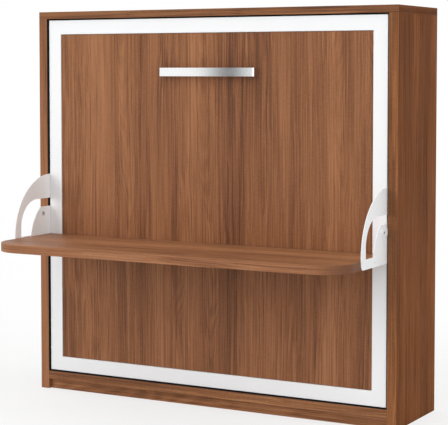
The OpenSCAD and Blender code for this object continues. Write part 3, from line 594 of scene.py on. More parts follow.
# The desk's edge band: a lighter copy of the walnut, which is painted light, darkened towards the right end
# by painted shade.
WALNUT_BAND_LIT = WalnutLaminate("walnut edge band with painted light and shade", "926040", light="ac7b57", dark="6a422a", banded=True)
WHITE_COAT = PowderCoat("white powder coat", "f3f4f5")
BLACK_GLOSS = PowderCoat("black gloss paint", "17181a", under="6c6e72", roughness=0.2, wear=0.25)
ZINC = BareMetal("zinc plate", "b4b8bd", roughness=0.38, brushed=0.2, mottle=0.6)
BRIGHT_STEEL = BareMetal("bright steel", "cfd1d4", roughness=0.22, brushed=0.5)
HANDLE_STEEL = BareMetal("brushed handle steel", "f9fafa", roughness=0.13, brushed=0.6)
NYLON = Moulded("natural nylon", "e4e0d4", roughness=0.4, bloom="f4f2ea")
BLACK_PLASTIC = Moulded("black plastic", "1d1d1f")
RUBBER = Moulded("black rubber", "161616", roughness=0.75, texture=0.00015)
PLY = BirchPly("birch slats", "dcbd8a")
TICKING = Cloth("mattress ticking", "eeece6")
# Black felt inside the gap round the bed: a dark sheet that stands for the shade in the gap, as painted
# shade.
GAP_SHADE_FELT = Moulded("black felt for painted gap shade", "060607", roughness=0.98, texture=0.0004, bloom="101011")
PIPING = Moulded("mattress piping", "c9c5bb", roughness=0.85, texture=0.0003, bloom="d8d4ca")
THREAD = Moulded("sewing thread", "d8d4ca", roughness=0.8, texture=0.0002, bloom="e4e0d8")
BLACK_THREAD = Moulded("black thread", "34363a", roughness=0.7, texture=0.0002, bloom="4a4c50")
WEBBING = Cloth("black webbing", "24262a", pitch=0.0022, thread="4a4d52", roughness=0.7, depth=0.0006)

FINISH_OF_SLOT: dict[str, Finish] = {
    "walnut_upright": WALNUT_UPRIGHT, "walnut_level": WALNUT_LEVEL, "white_paint": WHITE_COAT,
    "black_paint": BLACK_GLOSS, "zinc_plate": ZINC, "bright_steel": BRIGHT_STEEL,
    "handle_steel": HANDLE_STEEL, "nylon": NYLON, "black_plastic": BLACK_PLASTIC,
    "black_rubber": RUBBER, "birch_ply": PLY, "ticking": TICKING, "webbing": WEBBING,
}


@dataclass
class Bench:
    """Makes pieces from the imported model's nodes and puts each on its body."""

    frame: dict[str, Any]
    boards: int = 0

    def body_of(self, node: str) -> str:
        """Returns the body that a node rides on."""
        return self.frame["nodes"][node]["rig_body"]

    def slot_of(self, node: str) -> str:
        """Returns the material slot that the record gives a node."""
        parts = self.frame["record"]["subparts"]
        return next(part["material_slot"] for part in parts if part["node"] == node)

    def finish_of(self, node: str) -> Finish:
        """Returns the finish of a node's slot."""
        return FINISH_OF_SLOT[self.slot_of(node)]

    def merged(self, node: str) -> bmesh.types.BMesh:
        """Copies a node's mesh, with its loose triangles joined into whole flat faces."""
        shape = bmesh.new()
        shape.from_mesh(self.frame["nodes"][node].data)
        bmesh.ops.remove_doubles(shape, verts=shape.verts, dist=1e-6)
        bmesh.ops.dissolve_limit(shape, angle_limit=math.radians(0.3), verts=shape.verts, edges=shape.edges)
        return shape

    def loose_boxes(self, node: str) -> list[tuple[Vector, Vector]]:
        """Returns the low and the high corner of each loose part of a node, from low z to high z."""
        shape = self.merged(node)
        left = set(shape.verts)
        boxes = []
        while left:
            found = [left.pop()]
            for vertex in found:
                near = {edge.other_vert(vertex) for edge in vertex.link_edges} & left
                left -= near
                found.extend(near)
            sizes = list(zip(*(vertex.co for vertex in found)))
            boxes.append((Vector(map(min, sizes)), Vector(map(max, sizes))))
        shape.free()
        return sorted(boxes, key=lambda box: tuple(round(part, 5) for part in (box[0].z, box[0].y, box[0].x)))

    def mesh_piece(self, name: str, shape: bmesh.types.BMesh, finish: Finish) -> bpy.types.Object:
        """Turns a shape into a smooth-shaded object with a finish."""
        mesh = bpy.data.meshes.new(name)
        shape.to_mesh(mesh)
        shape.free()
        mesh.materials.append(finish.material())
        mesh.shade_smooth()
        piece = bpy.data.objects.new(name, mesh)
        bpy.context.scene.collection.objects.link(piece)
        return piece

    def settle(self, piece: bpy.types.Object) -> bpy.types.Object:
        """Turns a piece and its modifiers into a plain mesh."""
        depsgraph = bpy.context.evaluated_depsgraph_get()
        depsgraph.update()
        mesh = bpy.data.meshes.new_from_object(piece.evaluated_get(depsgraph))
        piece.modifiers.clear()
        old = piece.data
        piece.data = mesh
        mesh.name = piece.name
        bpy.data.meshes.remove(old)
        return piece

    def ease(self, piece: bpy.types.Object, width: float, segments: int = 2) -> bpy.types.Object:
        """Rounds a piece's sharp edges and keeps its flats flat."""
        bevel = piece.modifiers.new("eased edges", "BEVEL")
        bevel.width = width
        bevel.segments = segments
        bevel.limit_method = "ANGLE"
        bevel.angle_limit = math.radians(30)
        bevel.use_clamp_overlap = False
        shading = piece.modifiers.new("flat faces", "WEIGHTED_NORMAL")
        shading.mode = "FACE_AREA"
        shading.weight = 100
        return self.settle(piece)

    def eased(self, node: str, width: float, segments: int = 2) -> bpy.types.Object:
        """Makes the piece that stands for a node, with rounded edges.

        Args:
            node: The node whose shape the piece has.
            width: How far each edge is rounded, in metres.
            segments: How many faces round an edge.

        Returns:
            The piece, on the node's body.
        """
        piece = self.mesh_piece(f"{node}_eased", self.merged(node), self.finish_of(node))
        self.ease(piece, width, segments)
        self.number_board(piece)
        return self.stand_in(piece, node)

    def ease_all(self, rounds: dict[str, float], ending: str = "") -> None:
        """Makes the pieces that stand for several nodes, with rounded edges.

        Args:
            rounds: How far the edges of each node are rounded, in metres.
            ending: What each node's name ends in, where the nodes are those of one side.
        """
        for node, width in rounds.items():
            self.eased(node + ending, width)

    def screws(self, node: str, name: str, way: Vector, sunk: float = 0.0, **sizes: float) -> None:
        """Puts a socket screw in the place of each of a node's pins.

        Args:
            node: The node whose loose parts are the pins.
            name: The name of the screws.
            way: The direction in which their heads look, at the right where it runs across.
            sunk: How far under the pin's end the head's seat lies.
            **sizes: The screws' sizes, as SocketScrews takes them.
        """
        axis = 0 if way.x else 1
        places = []
        length = 0.0
        for low, high in self.loose_boxes(node):
            place = (low + high) / 2
            heading = way if place.x > 0 or not way.x else Vector((-way.x, 0.0, 0.0))
            place[axis] = high[axis] - sunk if heading[axis] > 0 else low[axis] + sunk
            length = high[axis] - sunk - low[axis]
            places.append((place, heading))
        sizes.setdefault("Length", length)
        self.stand_in(SocketScrews.run(self, name, marks(places), self.finish_of(node), **sizes), node)

    def face(self, piece: bpy.types.Object, finish: Finish, axis: Vector, least: float) -> None:
        """Gives another finish to the faces that look along an axis.

        Args:
            piece: The piece to dress.
            finish: The finish of those faces.
            axis: The direction that they look in.
            least: The least share of that direction in a face's normal.
        """
        piece.data.materials.append(finish.material())
        place = len(piece.data.materials) - 1
        for polygon in piece.data.polygons:
            if polygon.normal.dot(axis) >= least:
                polygon.material_index = place

    def number_board(self, piece: bpy.types.Object) -> None:
        """Gives a board its own place in the veneer."""
        self.boards += 1
        numbers = piece.data.attributes.new("board", "FLOAT", "POINT")
        numbers.data.foreach_set("value", [float(self.boards)] * len(piece.data.vertices))

    def put(self, piece: bpy.types.Object, body: str, slot: str, *nodes: str) -> bpy.types.Object:
        """Sets a finished piece on its body, in place of the nodes that it stands for."""
        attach(piece, body)
        if nodes:
            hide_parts(*nodes)
        LOG.info("%s rides on %s", piece.name, body)
        return piece

    def stand_in(self, piece: bpy.types.Object, node: str) -> bpy.types.Object:
        """Sets a finished piece on a node's body in its place."""
        return self.put(piece, self.body_of(node), self.slot_of(node), node)


class Recipe:
    """A Geometry Nodes tree with named inputs that is run once to make a plain mesh."""

    title: ClassVar[str] = ""
    inputs: ClassVar[dict[str, str]] = {}

    @classmethod
    def tree(cls) -> bpy.types.NodeTree:
        """Returns the tree, which is built the first time that it is asked for."""
        held = bpy.data.node_groups.get(cls.title)
        if held is not None:
            return held
        tree = bpy.data.node_groups.new(cls.title, "GeometryNodeTree")
        tree.is_modifier = True
        sockets = {"Geometry": "NodeSocketGeometry", **cls.inputs, "Finish": "NodeSocketMaterial"}
        for name, kind in sockets.items():
            tree.interface.new_socket(name, in_out="INPUT", socket_type=kind)
        tree.interface.new_socket("Geometry", in_out="OUTPUT", socket_type="NodeSocketGeometry")
        wiring = Wiring(tree)
        source = wiring.add("NodeGroupInput").outputs
        whole = wiring.made("GeometryNodeRealizeInstances", {"Geometry": cls.wire(wiring, source)})
        smooth = wiring.made("GeometryNodeSetShadeSmooth", {"Geometry": whole})
        dressed = wiring.made("GeometryNodeSetMaterial", {"Geometry": smooth, "Material": source["Finish"]})
        wiring.add("NodeGroupOutput", {"Geometry": dressed})
        return tree

    @classmethod
    def wire(cls, wiring: Wiring, source: Any) -> bpy.types.NodeSocket:
        """Builds the tree's own nodes and returns their geometry."""
        raise NotImplementedError

    @classmethod
    def run(cls, bench: Bench, name: str, start: bmesh.types.BMesh, finish: Finish,
            **values: Any) -> bpy.types.Object:
        """Runs the tree on a start shape.

        Args:
            bench: The bench that makes the piece.
            name: The piece's name.
            start: The points or paths that the tree works from.
            finish: The finish of the result.
            **values: The tree's inputs by name, with lower dashes for spaces.

        Returns:
            The result as a plain mesh, without the modifier.
        """
        piece = bench.mesh_piece(name, start, finish)
        modifier = piece.modifiers.new(cls.title, "NODES")
        modifier.node_group = cls.tree()
        given = {key.replace("_", " "): value for key, value in values.items()}
        given["Finish"] = finish.material()
        for item in cls.tree().interface.items_tree:
            if item.item_type == "SOCKET" and item.in_out == "INPUT" and item.name in given:
                modifier[item.identifier] = given[item.name]
        bench.settle(piece)
        mesh = piece.data
        mesh.materials.clear()
        mesh.materials.append(finish.material())
        mesh.polygons.foreach_set("material_index", [0] * len(mesh.polygons))
        bench.number_board(piece)
        return piece


class BowedSlats(Recipe):
    """A row of sprung slats, each bowed along its length by the same rule."""

    title = "Bowed slats"
    inputs = {"Start": VECTOR, "Length": NUMBER, "Bow": NUMBER, "Width": NUMBER, "Thickness": NUMBER,
              "Count": COUNT, "Pitch": NUMBER}
    stations: ClassVar[int] = 29
    edge_round: ClassVar[float] = 0.0018

    @classmethod
    def wire(cls, wiring: Wiring, source: Any) -> bpy.types.NodeSocket:
        """Bends one slat by a parabola, notes the depth of its plies, and repeats it along z."""
        line = wiring.made("GeometryNodeCurvePrimitiveLine", {"End": wiring.joined(X=source["Length"])})
        fine = wiring.made("GeometryNodeResampleCurve", {"Curve": line, "Count": cls.stations})
        share = wiring.add("GeometryNodeSplineParameter").outputs["Factor"]
        sag = cls.sag(wiring, source, share)
        bent = wiring.made("GeometryNodeSetPosition", {"Geometry": fine, "Offset": sag})
        outline = wiring.made("GeometryNodeCurvePrimitiveQuadrilateral",
                              {"Width": source["Thickness"], "Height": source["Width"]})
        sockets = {"Curve": outline, "Count": 3, "Radius": cls.edge_round}
        rounded = wiring.made("GeometryNodeFilletCurve", sockets, mode="POLY")
        upright = wiring.made("GeometryNodeSetCurveNormal", {"Curve": bent}, mode="Z_UP")
        slat = wiring.made("GeometryNodeCurveToMesh", {"Curve": upright, "Profile Curve": rounded,
                                                       "Fill Caps": True})
        place = wiring.parts(wiring.made("GeometryNodeInputPosition"))
        along = wiring.calc("DIVIDE", place["X"], source["Length"])
        middle = wiring.parts(cls.sag(wiring, source, along))["Y"]
        depth = wiring.calc("SUBTRACT", place["Y"], middle)
        sockets = {"Geometry": slat, "Name": "depth", "Value": depth}
        marked = wiring.made("GeometryNodeStoreNamedAttribute", sockets, data_type="FLOAT", domain="POINT")
        sockets = {"Count": source["Count"], "Start Location": source["Start"],
                   "Offset": wiring.joined(Z=source["Pitch"])}
        row = wiring.made("GeometryNodeMeshLine", sockets)
        return wiring.made("GeometryNodeInstanceOnPoints", {"Points": row, "Instance": marked})

    @staticmethod
    def sag(wiring: Wiring, source: Any, share: Any) -> bpy.types.NodeSocket:
        """Returns how far a slat lies below its middle at a share of its length, as a vector along y."""
        centred = wiring.calc("MULTIPLY_ADD", share, 2.0, -1.0)
        drop = wiring.calc("MULTIPLY", wiring.calc("MULTIPLY", centred, centred), source["Bow"])
        return wiring.joined(Y=wiring.calc("MULTIPLY", drop, -1.0))


class SocketScrews(Recipe):
    """Screws with a low head and a hexagon socket, one at each point, along the point's axis."""

    title = "Socket screws"
    inputs = {"Head radius": NUMBER, "Head height": NUMBER, "Shank radius": NUMBER, "Length": NUMBER,
              "Socket depth": NUMBER}
    sides: ClassVar[int] = 24
    rim: ClassVar[float] = 0.88
    socket: ClassVar[float] = 0.5

    @classmethod
    def wire(cls, wiring: Wiring, source: Any) -> bpy.types.NodeSocket:
        """Draws one screw whose seat lies at the origin and whose head looks along z."""
        bar = wiring.add("GeometryNodeMeshCylinder", {"Vertices": cls.sides, "Radius": source["Shank radius"],
                                                      "Depth": source["Length"]}).outputs
        down = wiring.joined(Z=wiring.calc("MULTIPLY", source["Length"], -0.5))
        lowered = wiring.made("GeometryNodeTransform", {"Geometry": bar["Mesh"], "Translation": down})
        height = source["Head height"]
        growth = wiring.calc("DIVIDE", source["Head radius"], source["Shank radius"])
        shape, top = cls.grown(wiring, lowered, bar["Top"], 0.0, growth)
        shape, top = cls.grown(wiring, shape, top, wiring.calc("MULTIPLY", height, 0.7), 1.0)
        shape, top = cls.grown(wiring, shape, top, wiring.calc("MULTIPLY", height, 0.3), cls.rim)
        shape, top = cls.grown(wiring, shape, top, 0.0, cls.socket)
        shape = wiring.made("GeometryNodeSetPosition", {"Geometry": shape, "Selection": top,
                                                        "Position": cls.hexagon(wiring)})
        shape, top = cls.grown(wiring, shape, top, wiring.calc("MULTIPLY", source["Socket depth"], -1.0), 1.0)
        axis = wiring.made("GeometryNodeInputNamedAttribute", {"Name": "axis"}, data_type="FLOAT_VECTOR")
        turn = wiring.made("FunctionNodeAlignRotationToVector", {"Vector": axis}, axis="Z")
        return wiring.made("GeometryNodeInstanceOnPoints", {"Points": source["Geometry"], "Instance": shape,
                                                            "Rotation": turn})

    @staticmethod
    def grown(wiring: Wiring, shape: Any, top: Any, rise: Any, scale: Any) -> tuple[Any, Any]:
        """Extrudes the top face and scales it, and returns the shape with its new top."""
        out = wiring.add("GeometryNodeExtrudeMesh", {"Mesh": shape, "Selection": top, "Offset Scale": rise},
                         mode="FACES").outputs
        sockets = {"Geometry": out["Mesh"], "Selection": out["Top"], "Scale": scale}
        return wiring.made("GeometryNodeScaleElements", sockets, domain="FACE"), out["Top"]

    @staticmethod
    def hexagon(wiring: Wiring) -> bpy.types.NodeSocket:
        """Returns the position with a ring round z pressed into a hexagon."""
        parts = wiring.parts(wiring.made("GeometryNodeInputPosition"))
        angle = wiring.calc("ARCTAN2", parts["Y"], parts["X"])
        sixth = wiring.calc("FLOORED_MODULO", angle, math.tau / 6)
        lean = wiring.calc("COSINE", wiring.calc("SUBTRACT", sixth, math.tau / 12))
        share = wiring.calc("DIVIDE", math.cos(math.tau / 12), lean)
        pressed = {axis: wiring.calc("MULTIPLY", parts[axis], share) for axis in ("X", "Y")}
        return wiring.joined(**pressed, Z=parts["Z"])


class Stitches(Recipe):
    """A row of sunk stitches along each path."""

    title = "Stitches"
    inputs = {"Pitch": NUMBER, "Thickness": NUMBER}

    @classmethod
    def wire(cls, wiring: Wiring, source: Any) -> bpy.types.NodeSocket:
        """Lays one small bead of thread on every step of the path, turned along it."""
        path = wiring.made("GeometryNodeMeshToCurve", {"Mesh": source["Geometry"]})
        steps = wiring.made("GeometryNodeResampleCurve", {"Curve": path, "Length": source["Pitch"]},
                            mode="LENGTH")
        bead = wiring.made("GeometryNodeMeshIcoSphere", {"Subdivisions": 1, "Radius": 0.5})
        long, thick = wiring.calc("MULTIPLY", source["Pitch"], 0.72), source["Thickness"]
        size = wiring.joined(X=long, Y=thick, Z=thick)
        tangent = wiring.made("GeometryNodeInputTangent")
        turn = wiring.made("FunctionNodeAlignRotationToVector", {"Vector": tangent}, axis="X")
        return wiring.made("GeometryNodeInstanceOnPoints", {"Points": steps, "Instance": bead,
                                                            "Rotation": turn, "Scale": size})


class Piping(Recipe):
    """A round cord along each path."""

    title = "Piping"
    inputs = {"Radius": NUMBER}

    @classmethod
    def wire(cls, wiring: Wiring, source: Any) -> bpy.types.NodeSocket:
        """Sweeps a circle along the path."""
        path = wiring.made("GeometryNodeMeshToCurve", {"Mesh": source["Geometry"]})
        ring = wiring.made("GeometryNodeCurvePrimitiveCircle", {"Resolution": 10, "Radius": source["Radius"]})
        return wiring.made("GeometryNodeCurveToMesh", {"Curve": path, "Profile Curve": ring})


def paths(*lines: Sequence[Sequence[float]], closed: bool = False) -> bmesh.types.BMesh:
    """Makes a shape of bare edges.

    Args:
        *lines: The points of each path, in order.
        closed: Whether each path runs back to its first point.

    Returns:
        The paths as edges.
    """
    shape = bmesh.new()
    for line in lines:
        points = [shape.verts.new(point) for point in line]
        for first, second in zip(points, points[1:]):
            shape.edges.new((first, second))
        if closed:
            shape.edges.new((points[-1], points[0]))
    return shape


def close_tube(shape: bmesh.types.BMesh, rings: Sequence[Sequence[bmesh.types.BMVert]]) -> None:
    """Joins rings of points into a closed tube.

    Args:
        shape: The shape that the points are in.
        rings: The points of each ring, from one end to the other.
    """
    for first, second in zip(rings, rings[1:]):
        for here in range(len(first)):
            after = (here + 1) % len(first)
            shape.faces.new((first[here], first[after], second[after], second[here]))
    shape.faces.new(rings[0])
    shape.faces.new(tuple(reversed(rings[-1])))


def marks(points: Sequence[tuple[Sequence[float], Sequence[float]]]) -> bmesh.types.BMesh:
    """Makes a shape of bare points that each carry a direction.

    Args:
        points: The place and the direction of each point.

    Returns:
        The points, with their directions in the attribute "axis".
    """
    shape = bmesh.new()
    layer = shape.verts.layers.float_vector.new("axis")
    for place, way in points:
        shape.verts.new(place)[layer] = Vector(way)
    return shape


@dataclass
class Cabinet:
    """The walnut case with its rails, and the fixed half of the tilt mechanism."""

    bench: Bench
    board_round: float = 0.0012
    rounds: ClassVar[dict[str, float]] = {"bottom_board": 0.0012, "plinth": 0.0012, "back_panel": 0.0005,
                                          "rear_top_rail": 0.0005, "rear_lower_rail": 0.0005}
    side_rounds: ClassVar[dict[str, float]] = {"pivot_plate": 0.0005, "strut_anchor": 0.0005,
                                               "rod_stud": 0.0005, "pivot_bush": 0.0004, "stop_block": 0.0015}
    buffer_round: float = 0.0008
    flat: float = 0.9
    seal_t: float = 0.0003
    seal_lip: float = 0.0012
    seal_inset: float = 0.0008
    side_seal: float = 0.024
    top_seal: float = 0.232
    floor_seal: float = 0.046
    screw_length: float = 0.03

    def build(self) -> None:
        """Dresses the case and what is screwed to it."""
        outwards = dict(zip(SIDES, (LEFTWARD, RIGHTWARD)))
        for side in SIDES:
            panel = self.bench.eased(f"side_panel_{side}", self.board_round)
            # The outer faces take the darker walnut copy, which is painted shade.
            self.bench.face(panel, WALNUT_OUTSIDE_SHADE, outwards[side], self.flat)
            if side == "right":
                self.bench.face(panel, WALNUT_SHADED, FORWARD, self.flat)
        top = self.bench.eased("top_board", self.board_round)
        self.bench.face(top, WALNUT_LINTEL, FORWARD, self.flat)
        # The ends take the darker walnut, which is painted shade.
        for side in SIDES:
            self.bench.face(top, WALNUT_END_SHADE, outwards[side], self.flat)
        self.bench.ease_all(self.rounds)
        for side in SIDES:
            self.bench.ease_all(self.side_rounds, f"_{side}")
        self.bench.eased("stop_buffers", self.buffer_round)
        self.bench.screws("mechanism_screws", "mechanism_socket_screws", LEFTWARD, Length=self.screw_length,
                          Head_radius=0.0047, Head_height=0.0004, Shank_radius=0.0025, Socket_depth=0.0016)
        self.build_shade_seals()

    def build_shade_seals(self) -> None:
        """Lines the gap round the bed with thin black felt, which a raised lip ends in front. The black
        strips are painted shade that fills the gap.
        """
        left, right = self.inner_box("side_panel_left")[1].x, self.inner_box("side_panel_right")[0].x
        above, below = self.inner_box("top_board")[0].z, self.inner_box("bottom_board")[1].z
        front = self.inner_box("side_panel_left")[0].y + self.seal_inset
        shape = bmesh.new()
        for wall, inwards in ((left, RIGHTWARD), (right, LEFTWARD)):
            self.add_seal(shape, Vector((wall, front, below)), Vector((0.0, 0.0, above - below)), inwards,
                          self.side_seal)
        for wall, inwards, reach in ((above, -1.0, self.top_seal), (below, 1.0, self.floor_seal)):
            self.add_seal(shape, Vector((left, front, wall)), Vector((right - left, 0.0, 0.0)),
                          Vector((0.0, 0.0, inwards)), reach)
        bmesh.ops.recalc_face_normals(shape, faces=shape.faces)
        piece = self.bench.mesh_piece("gap_shade_seals", shape, GAP_SHADE_FELT)
        self.bench.put(self.bench.ease(piece, 0.0001, 1), "cabinet", "black_plastic")

    def inner_box(self, node: str) -> tuple[Vector, Vector]:
        """Returns the low and the high corner of a node that is one part."""
        return self.bench.loose_boxes(node)[0]

    def add_seal(self, shape: bmesh.types.BMesh, start: Vector, run: Vector, inwards: Vector,
                 reach: float) -> None:
        """Adds one strip of the seal.

        Args:
            shape: The shape that gets the strip.
            start: The front end of the strip on its board.
            run: How the strip runs along the board's edge.
            inwards: The direction from the board into the cabinet.
            reach: How far back the strip goes.
        """
        thick, lip = self.seal_t, self.seal_lip
        profile = [(0.0, 0.0), (0.0, thick * 2), (lip, thick * 2), (lip * 1.6, thick), (reach, thick),
                   (reach, 0.0)]
        ends = [[shape.verts.new(at + Vector((0.0, back, 0.0)) + inwards * rise) for back, rise in profile]
                for at in (start, start + run)]
        close_tube(shape, ends)


@dataclass
class BedFrame:
    """The white tube frame with its panel, its handle and its slats."""

    bench: Bench
    tubes: tuple[str, ...] = ("frame_top_rail", "frame_bottom_rail", "frame_left_stile", "frame_right_stile")
    tube_round: float = 0.0022
    rounds: ClassVar[dict[str, float]] = {"middle_rail": 0.0015, "front_panel": 0.0008,
                                          "panel_cleats": 0.0006, "handle": 0.0007}
    side_rounds: ClassVar[dict[str, float]] = {"pivot_pin": 0.0005, "strut_lug": 0.0005}
    small_rounds: ClassVar[dict[str, float]] = {"slat_holders": 0.0005, "desk_pivot_pins": 0.0003,
                                                "leg_pins": 0.0003}
    handle_screw_head: float = 0.003
    slat_t: float = 0.008

    def build(self) -> None:
        """Dresses the frame and what it carries."""
        self.build_welded_tubes()
        self.bench.ease_all(self.rounds)
        self.bench.screws("handle_screws", "handle_socket_screws", BACKWARD, sunk=self.handle_screw_head,
                          Head_radius=0.004, Head_height=self.handle_screw_head, Shank_radius=0.002,
                          Socket_depth=0.0018)
        for side in SIDES:
            self.build_slats(side)
            self.bench.ease_all(self.side_rounds, f"_{side}")
        self.bench.ease_all(self.small_rounds)

    def build_slats(self, side: str) -> None:
        """Springs one half's slats by the rule of their bow."""
        node = f"slats_{side}"
        boxes = self.bench.loose_boxes(node)
        low, high = boxes[0]
        size = high - low
        pitch = (boxes[-1][0].z - low.z) / (len(boxes) - 1)
        start = (low.x, high.y - self.slat_t / 2, (low.z + high.z) / 2)
        piece = BowedSlats.run(self.bench, f"bowed_{node}", bmesh.new(), PLY, Start=start, Length=size.x,
                               Bow=size.y - self.slat_t, Width=size.z, Thickness=self.slat_t,
                               Count=len(boxes), Pitch=pitch)
        self.bench.stand_in(piece, node)

    def build_welded_tubes(self) -> None:
        """Joins the four mitred tubes into one frame, whose welds are ground flush."""
        whole = bmesh.new()
        for node in self.tubes:
            part = bpy.data.meshes.new(node)
            shape = self.bench.merged(node)
            mitres = [face for face in shape.faces if self.is_mitre(face)]
            bmesh.ops.delete(shape, geom=mitres, context="FACES")
            shape.to_mesh(part)
            shape.free()
            whole.from_mesh(part)
            bpy.data.meshes.remove(part)
        bmesh.ops.remove_doubles(whole, verts=whole.verts, dist=2e-6)
        piece = self.bench.mesh_piece("welded_tube_frame", whole, self.bench.finish_of(self.tubes[0]))
        self.bench.ease(piece, self.tube_round, 3)
        self.bench.put(piece, "bed", "white_paint", *self.tubes)

    @staticmethod
    def is_mitre(face: bmesh.types.BMFace) -> bool:
        """Tells whether a face is a tube's slanting end."""
        way = face.normal
        return abs(abs(way.x) - abs(way.z)) < 0.1 and abs(way.y) < 0.1


class WovenShape:
    """A shape in the making, whose faces carry a weave map in metres."""

    def __init__(self) -> None:
        """Starts empty."""
        self.shape = bmesh.new()
        self.weave = self.shape.loops.layers.uv.new("weave")
        self.pinned: list[int] = []

    def point(self, place: Sequence[float], pin: bool = False) -> bmesh.types.BMVert:
        """Adds a point, which the padding lifts unless it is pinned."""
        made = self.shape.verts.new(place)
        if pin:
            self.pinned.append(len(self.shape.verts) - 1)
        return made

    def quad(self, points: Sequence[bmesh.types.BMVert], places: Sequence[tuple[float, float]]) -> None:
        """Adds a face, with the place of each of its points on the cloth."""
        face = self.shape.faces.new(points)
        for loop, place in zip(face.loops, places):
            loop[self.weave].uv = place


@dataclass
class Bedding:
    """The quilted mattress with its piping, and the webbing straps that hold it."""

    bench: Bench
    squares: int = 10
    steps: tuple[float, ...] = (0.0, 0.045, 0.14, 0.31, 0.5, 0.69, 0.86, 0.955)
    sink: float = 0.008
    seam_sink: float = 0.013
    side_give: float = 0.004
    roll: float = 0.028
    corner: float = 0.066
    top_slack: float = 0.001
    puff: float = 0.013
    border_puff: float = 0.0035
    border_rows: int = 5
    roll_rows: int = 4
    row_length: float = 0.0112
    piping_r: float = 0.0038
    piping_out: float = 0.0012
    pressure: float = 4.0
    frames: int = 20
    strap_w: float = 0.04
    strap_t: float = 0.0015
    strap_drop: float = 0.0022
    strap_turn: float = 0.026
    strap_seam: float = 0.004
    strap_room: float = 0.012
    strap_gap: float = 0.0004
    stitch_pitch: float = 0.012
    stitch_lift: float = 0.0004

    def build(self) -> None:
        """Makes the mattress and its straps."""
        self.low, self.high = self.bench.loose_boxes("mattress")[0]
        self.strap_boxes = self.bench.loose_boxes("mattress_straps")
        self.middle = (self.low + self.high) / 2
        self.half = (self.high - self.low) / 2
        self.build_mattress()
        self.build_trim()
        self.build_straps()

    def lines(self, half: float) -> list[float]:
        """Returns the grid lines across a side, closer together by the seams."""
        reach = half - self.side_give - self.roll
        step = 2 * half / self.squares
        found = []
        for square in range(self.squares):
            start = -half + square * step
            found.extend(start + share * step for share in self.steps)
        inner = [place for place in found if abs(place) < reach - 0.004]
        return [-reach, *inner, reach]

    def is_seam(self, place: float, half: float) -> bool:
        """Tells whether a grid line runs along a seam."""
        step = 2 * half / self.squares
        turns = (place + half) / step
        return abs(turns - round(turns)) < 1e-4 and abs(place) < half - step / 2

    def rounded(self, x: float, z: float, radius: float) -> tuple[float, float]:
        """Moves a point of the square grid onto a slab with round corners of this radius.

        Args:
            x: The point's place across, from the middle.
            z: Its place upwards, from the middle.
            radius: The corner's radius where the point would lie on the outline.

        Returns:
            The point's place on the rounded slab.
        """
        give = self.side_give
        inner = self.corner - self.roll
        shares = []
        for place, half in ((x, self.half.x), (z, self.half.z)):
            centre = half - give - self.corner
            shares.append((max(abs(place) - centre, 0.0) / inner, centre))
        (a, centre_x), (b, centre_z) = shares
        out_x = math.copysign(min(abs(x), centre_x) + radius * a * math.sqrt(1 - b * b / 2), x)
        out_z = math.copysign(min(abs(z), centre_z) + radius * b * math.sqrt(1 - a * a / 2), z)
        return out_x, out_z

    def rings(self) -> list[tuple[float, float, bool]]:
        """Returns the radius, the height and the pinning of each ring between the two faces."""
        top = self.half.y * 2 - self.sink
        found = []
        for step in range(1, self.roll_rows + 1):
            turn = math.pi / 2 * step / self.roll_rows
            radius = self.corner - self.roll * (1 - math.sin(turn))
            found.append((radius, self.roll * (1 - math.cos(turn)), step * 2 == self.roll_rows))
        over = [(radius, top - fall, pinned) for radius, fall, pinned in reversed(found)]
        span = top - 2 * self.roll
        sides = [(self.corner, self.roll + span * step / self.border_rows, False)
                 for step in range(1, self.border_rows)]
        return found + sides + over

    def build_shape(self) -> tuple[bmesh.types.BMesh, list[int]]:
        """Draws the slab as one closed grid.

        Returns:
            The slab and the numbers of its pinned points.
        """
        slab = WovenShape()
        across, upwards = self.lines(self.half.x), self.lines(self.half.z)
        faces = [self.add_face(slab, across, upwards, level) for level in (0.0, self.half.y * 2 - self.sink)]
        outline = self.outline(len(across), len(upwards))
        loops = [[faces[0][i][j] for i, j in outline]]
        heights = [0.0]
        for radius, level, pin in self.rings():
            ring = [self.on_face(across[i], upwards[j], radius, level) for i, j in outline]
            loops.append([slab.point(place, pin) for place in ring])
            heights.append(heights[-1] + self.row_length)
        loops.append([faces[1][i][j] for i, j in outline])
        heights.append(heights[-1] + self.row_length)
        self.add_sides(slab, loops, heights)
        bmesh.ops.recalc_face_normals(slab.shape, faces=slab.shape.faces)
        return slab.shape, slab.pinned

    def add_face(self, slab: WovenShape, across: Sequence[float], upwards: Sequence[float],
                 level: float) -> list[list[bmesh.types.BMVert]]:
        """Adds one of the slab's two faces.

        Args:
            slab: The slab in the making.
            across: The grid lines across.
            upwards: The grid lines upwards.
            level: How far the face lies from the lower one, which is 0 for that one.

        Returns:
            The face's points, by column and line.
        """
        grid = []
        for column, x in enumerate(across):
            row = []
            for line, z in enumerate(upwards):
                edge = column in (0, len(across) - 1) or line in (0, len(upwards) - 1)
                seam = (self.is_seam(x, self.half.x) or self.is_seam(z, self.half.z)) and not edge
                drop = self.seam_sink - self.sink if seam and level else 0.0
                place = self.on_face(x, z, self.corner - self.roll, level - drop)
                row.append(slab.point(place, level == 0.0 or seam))
            grid.append(row)
        for column, line in product(range(len(across) - 1), range(len(upwards) - 1)):
            ids = [(column, line), (column, line + 1), (column + 1, line + 1), (column + 1, line)]
            if level == 0.0:
                ids.reverse()
            slab.quad([grid[i][j] for i, j in ids], [(across[i], upwards[j]) for i, j in ids])
        return grid

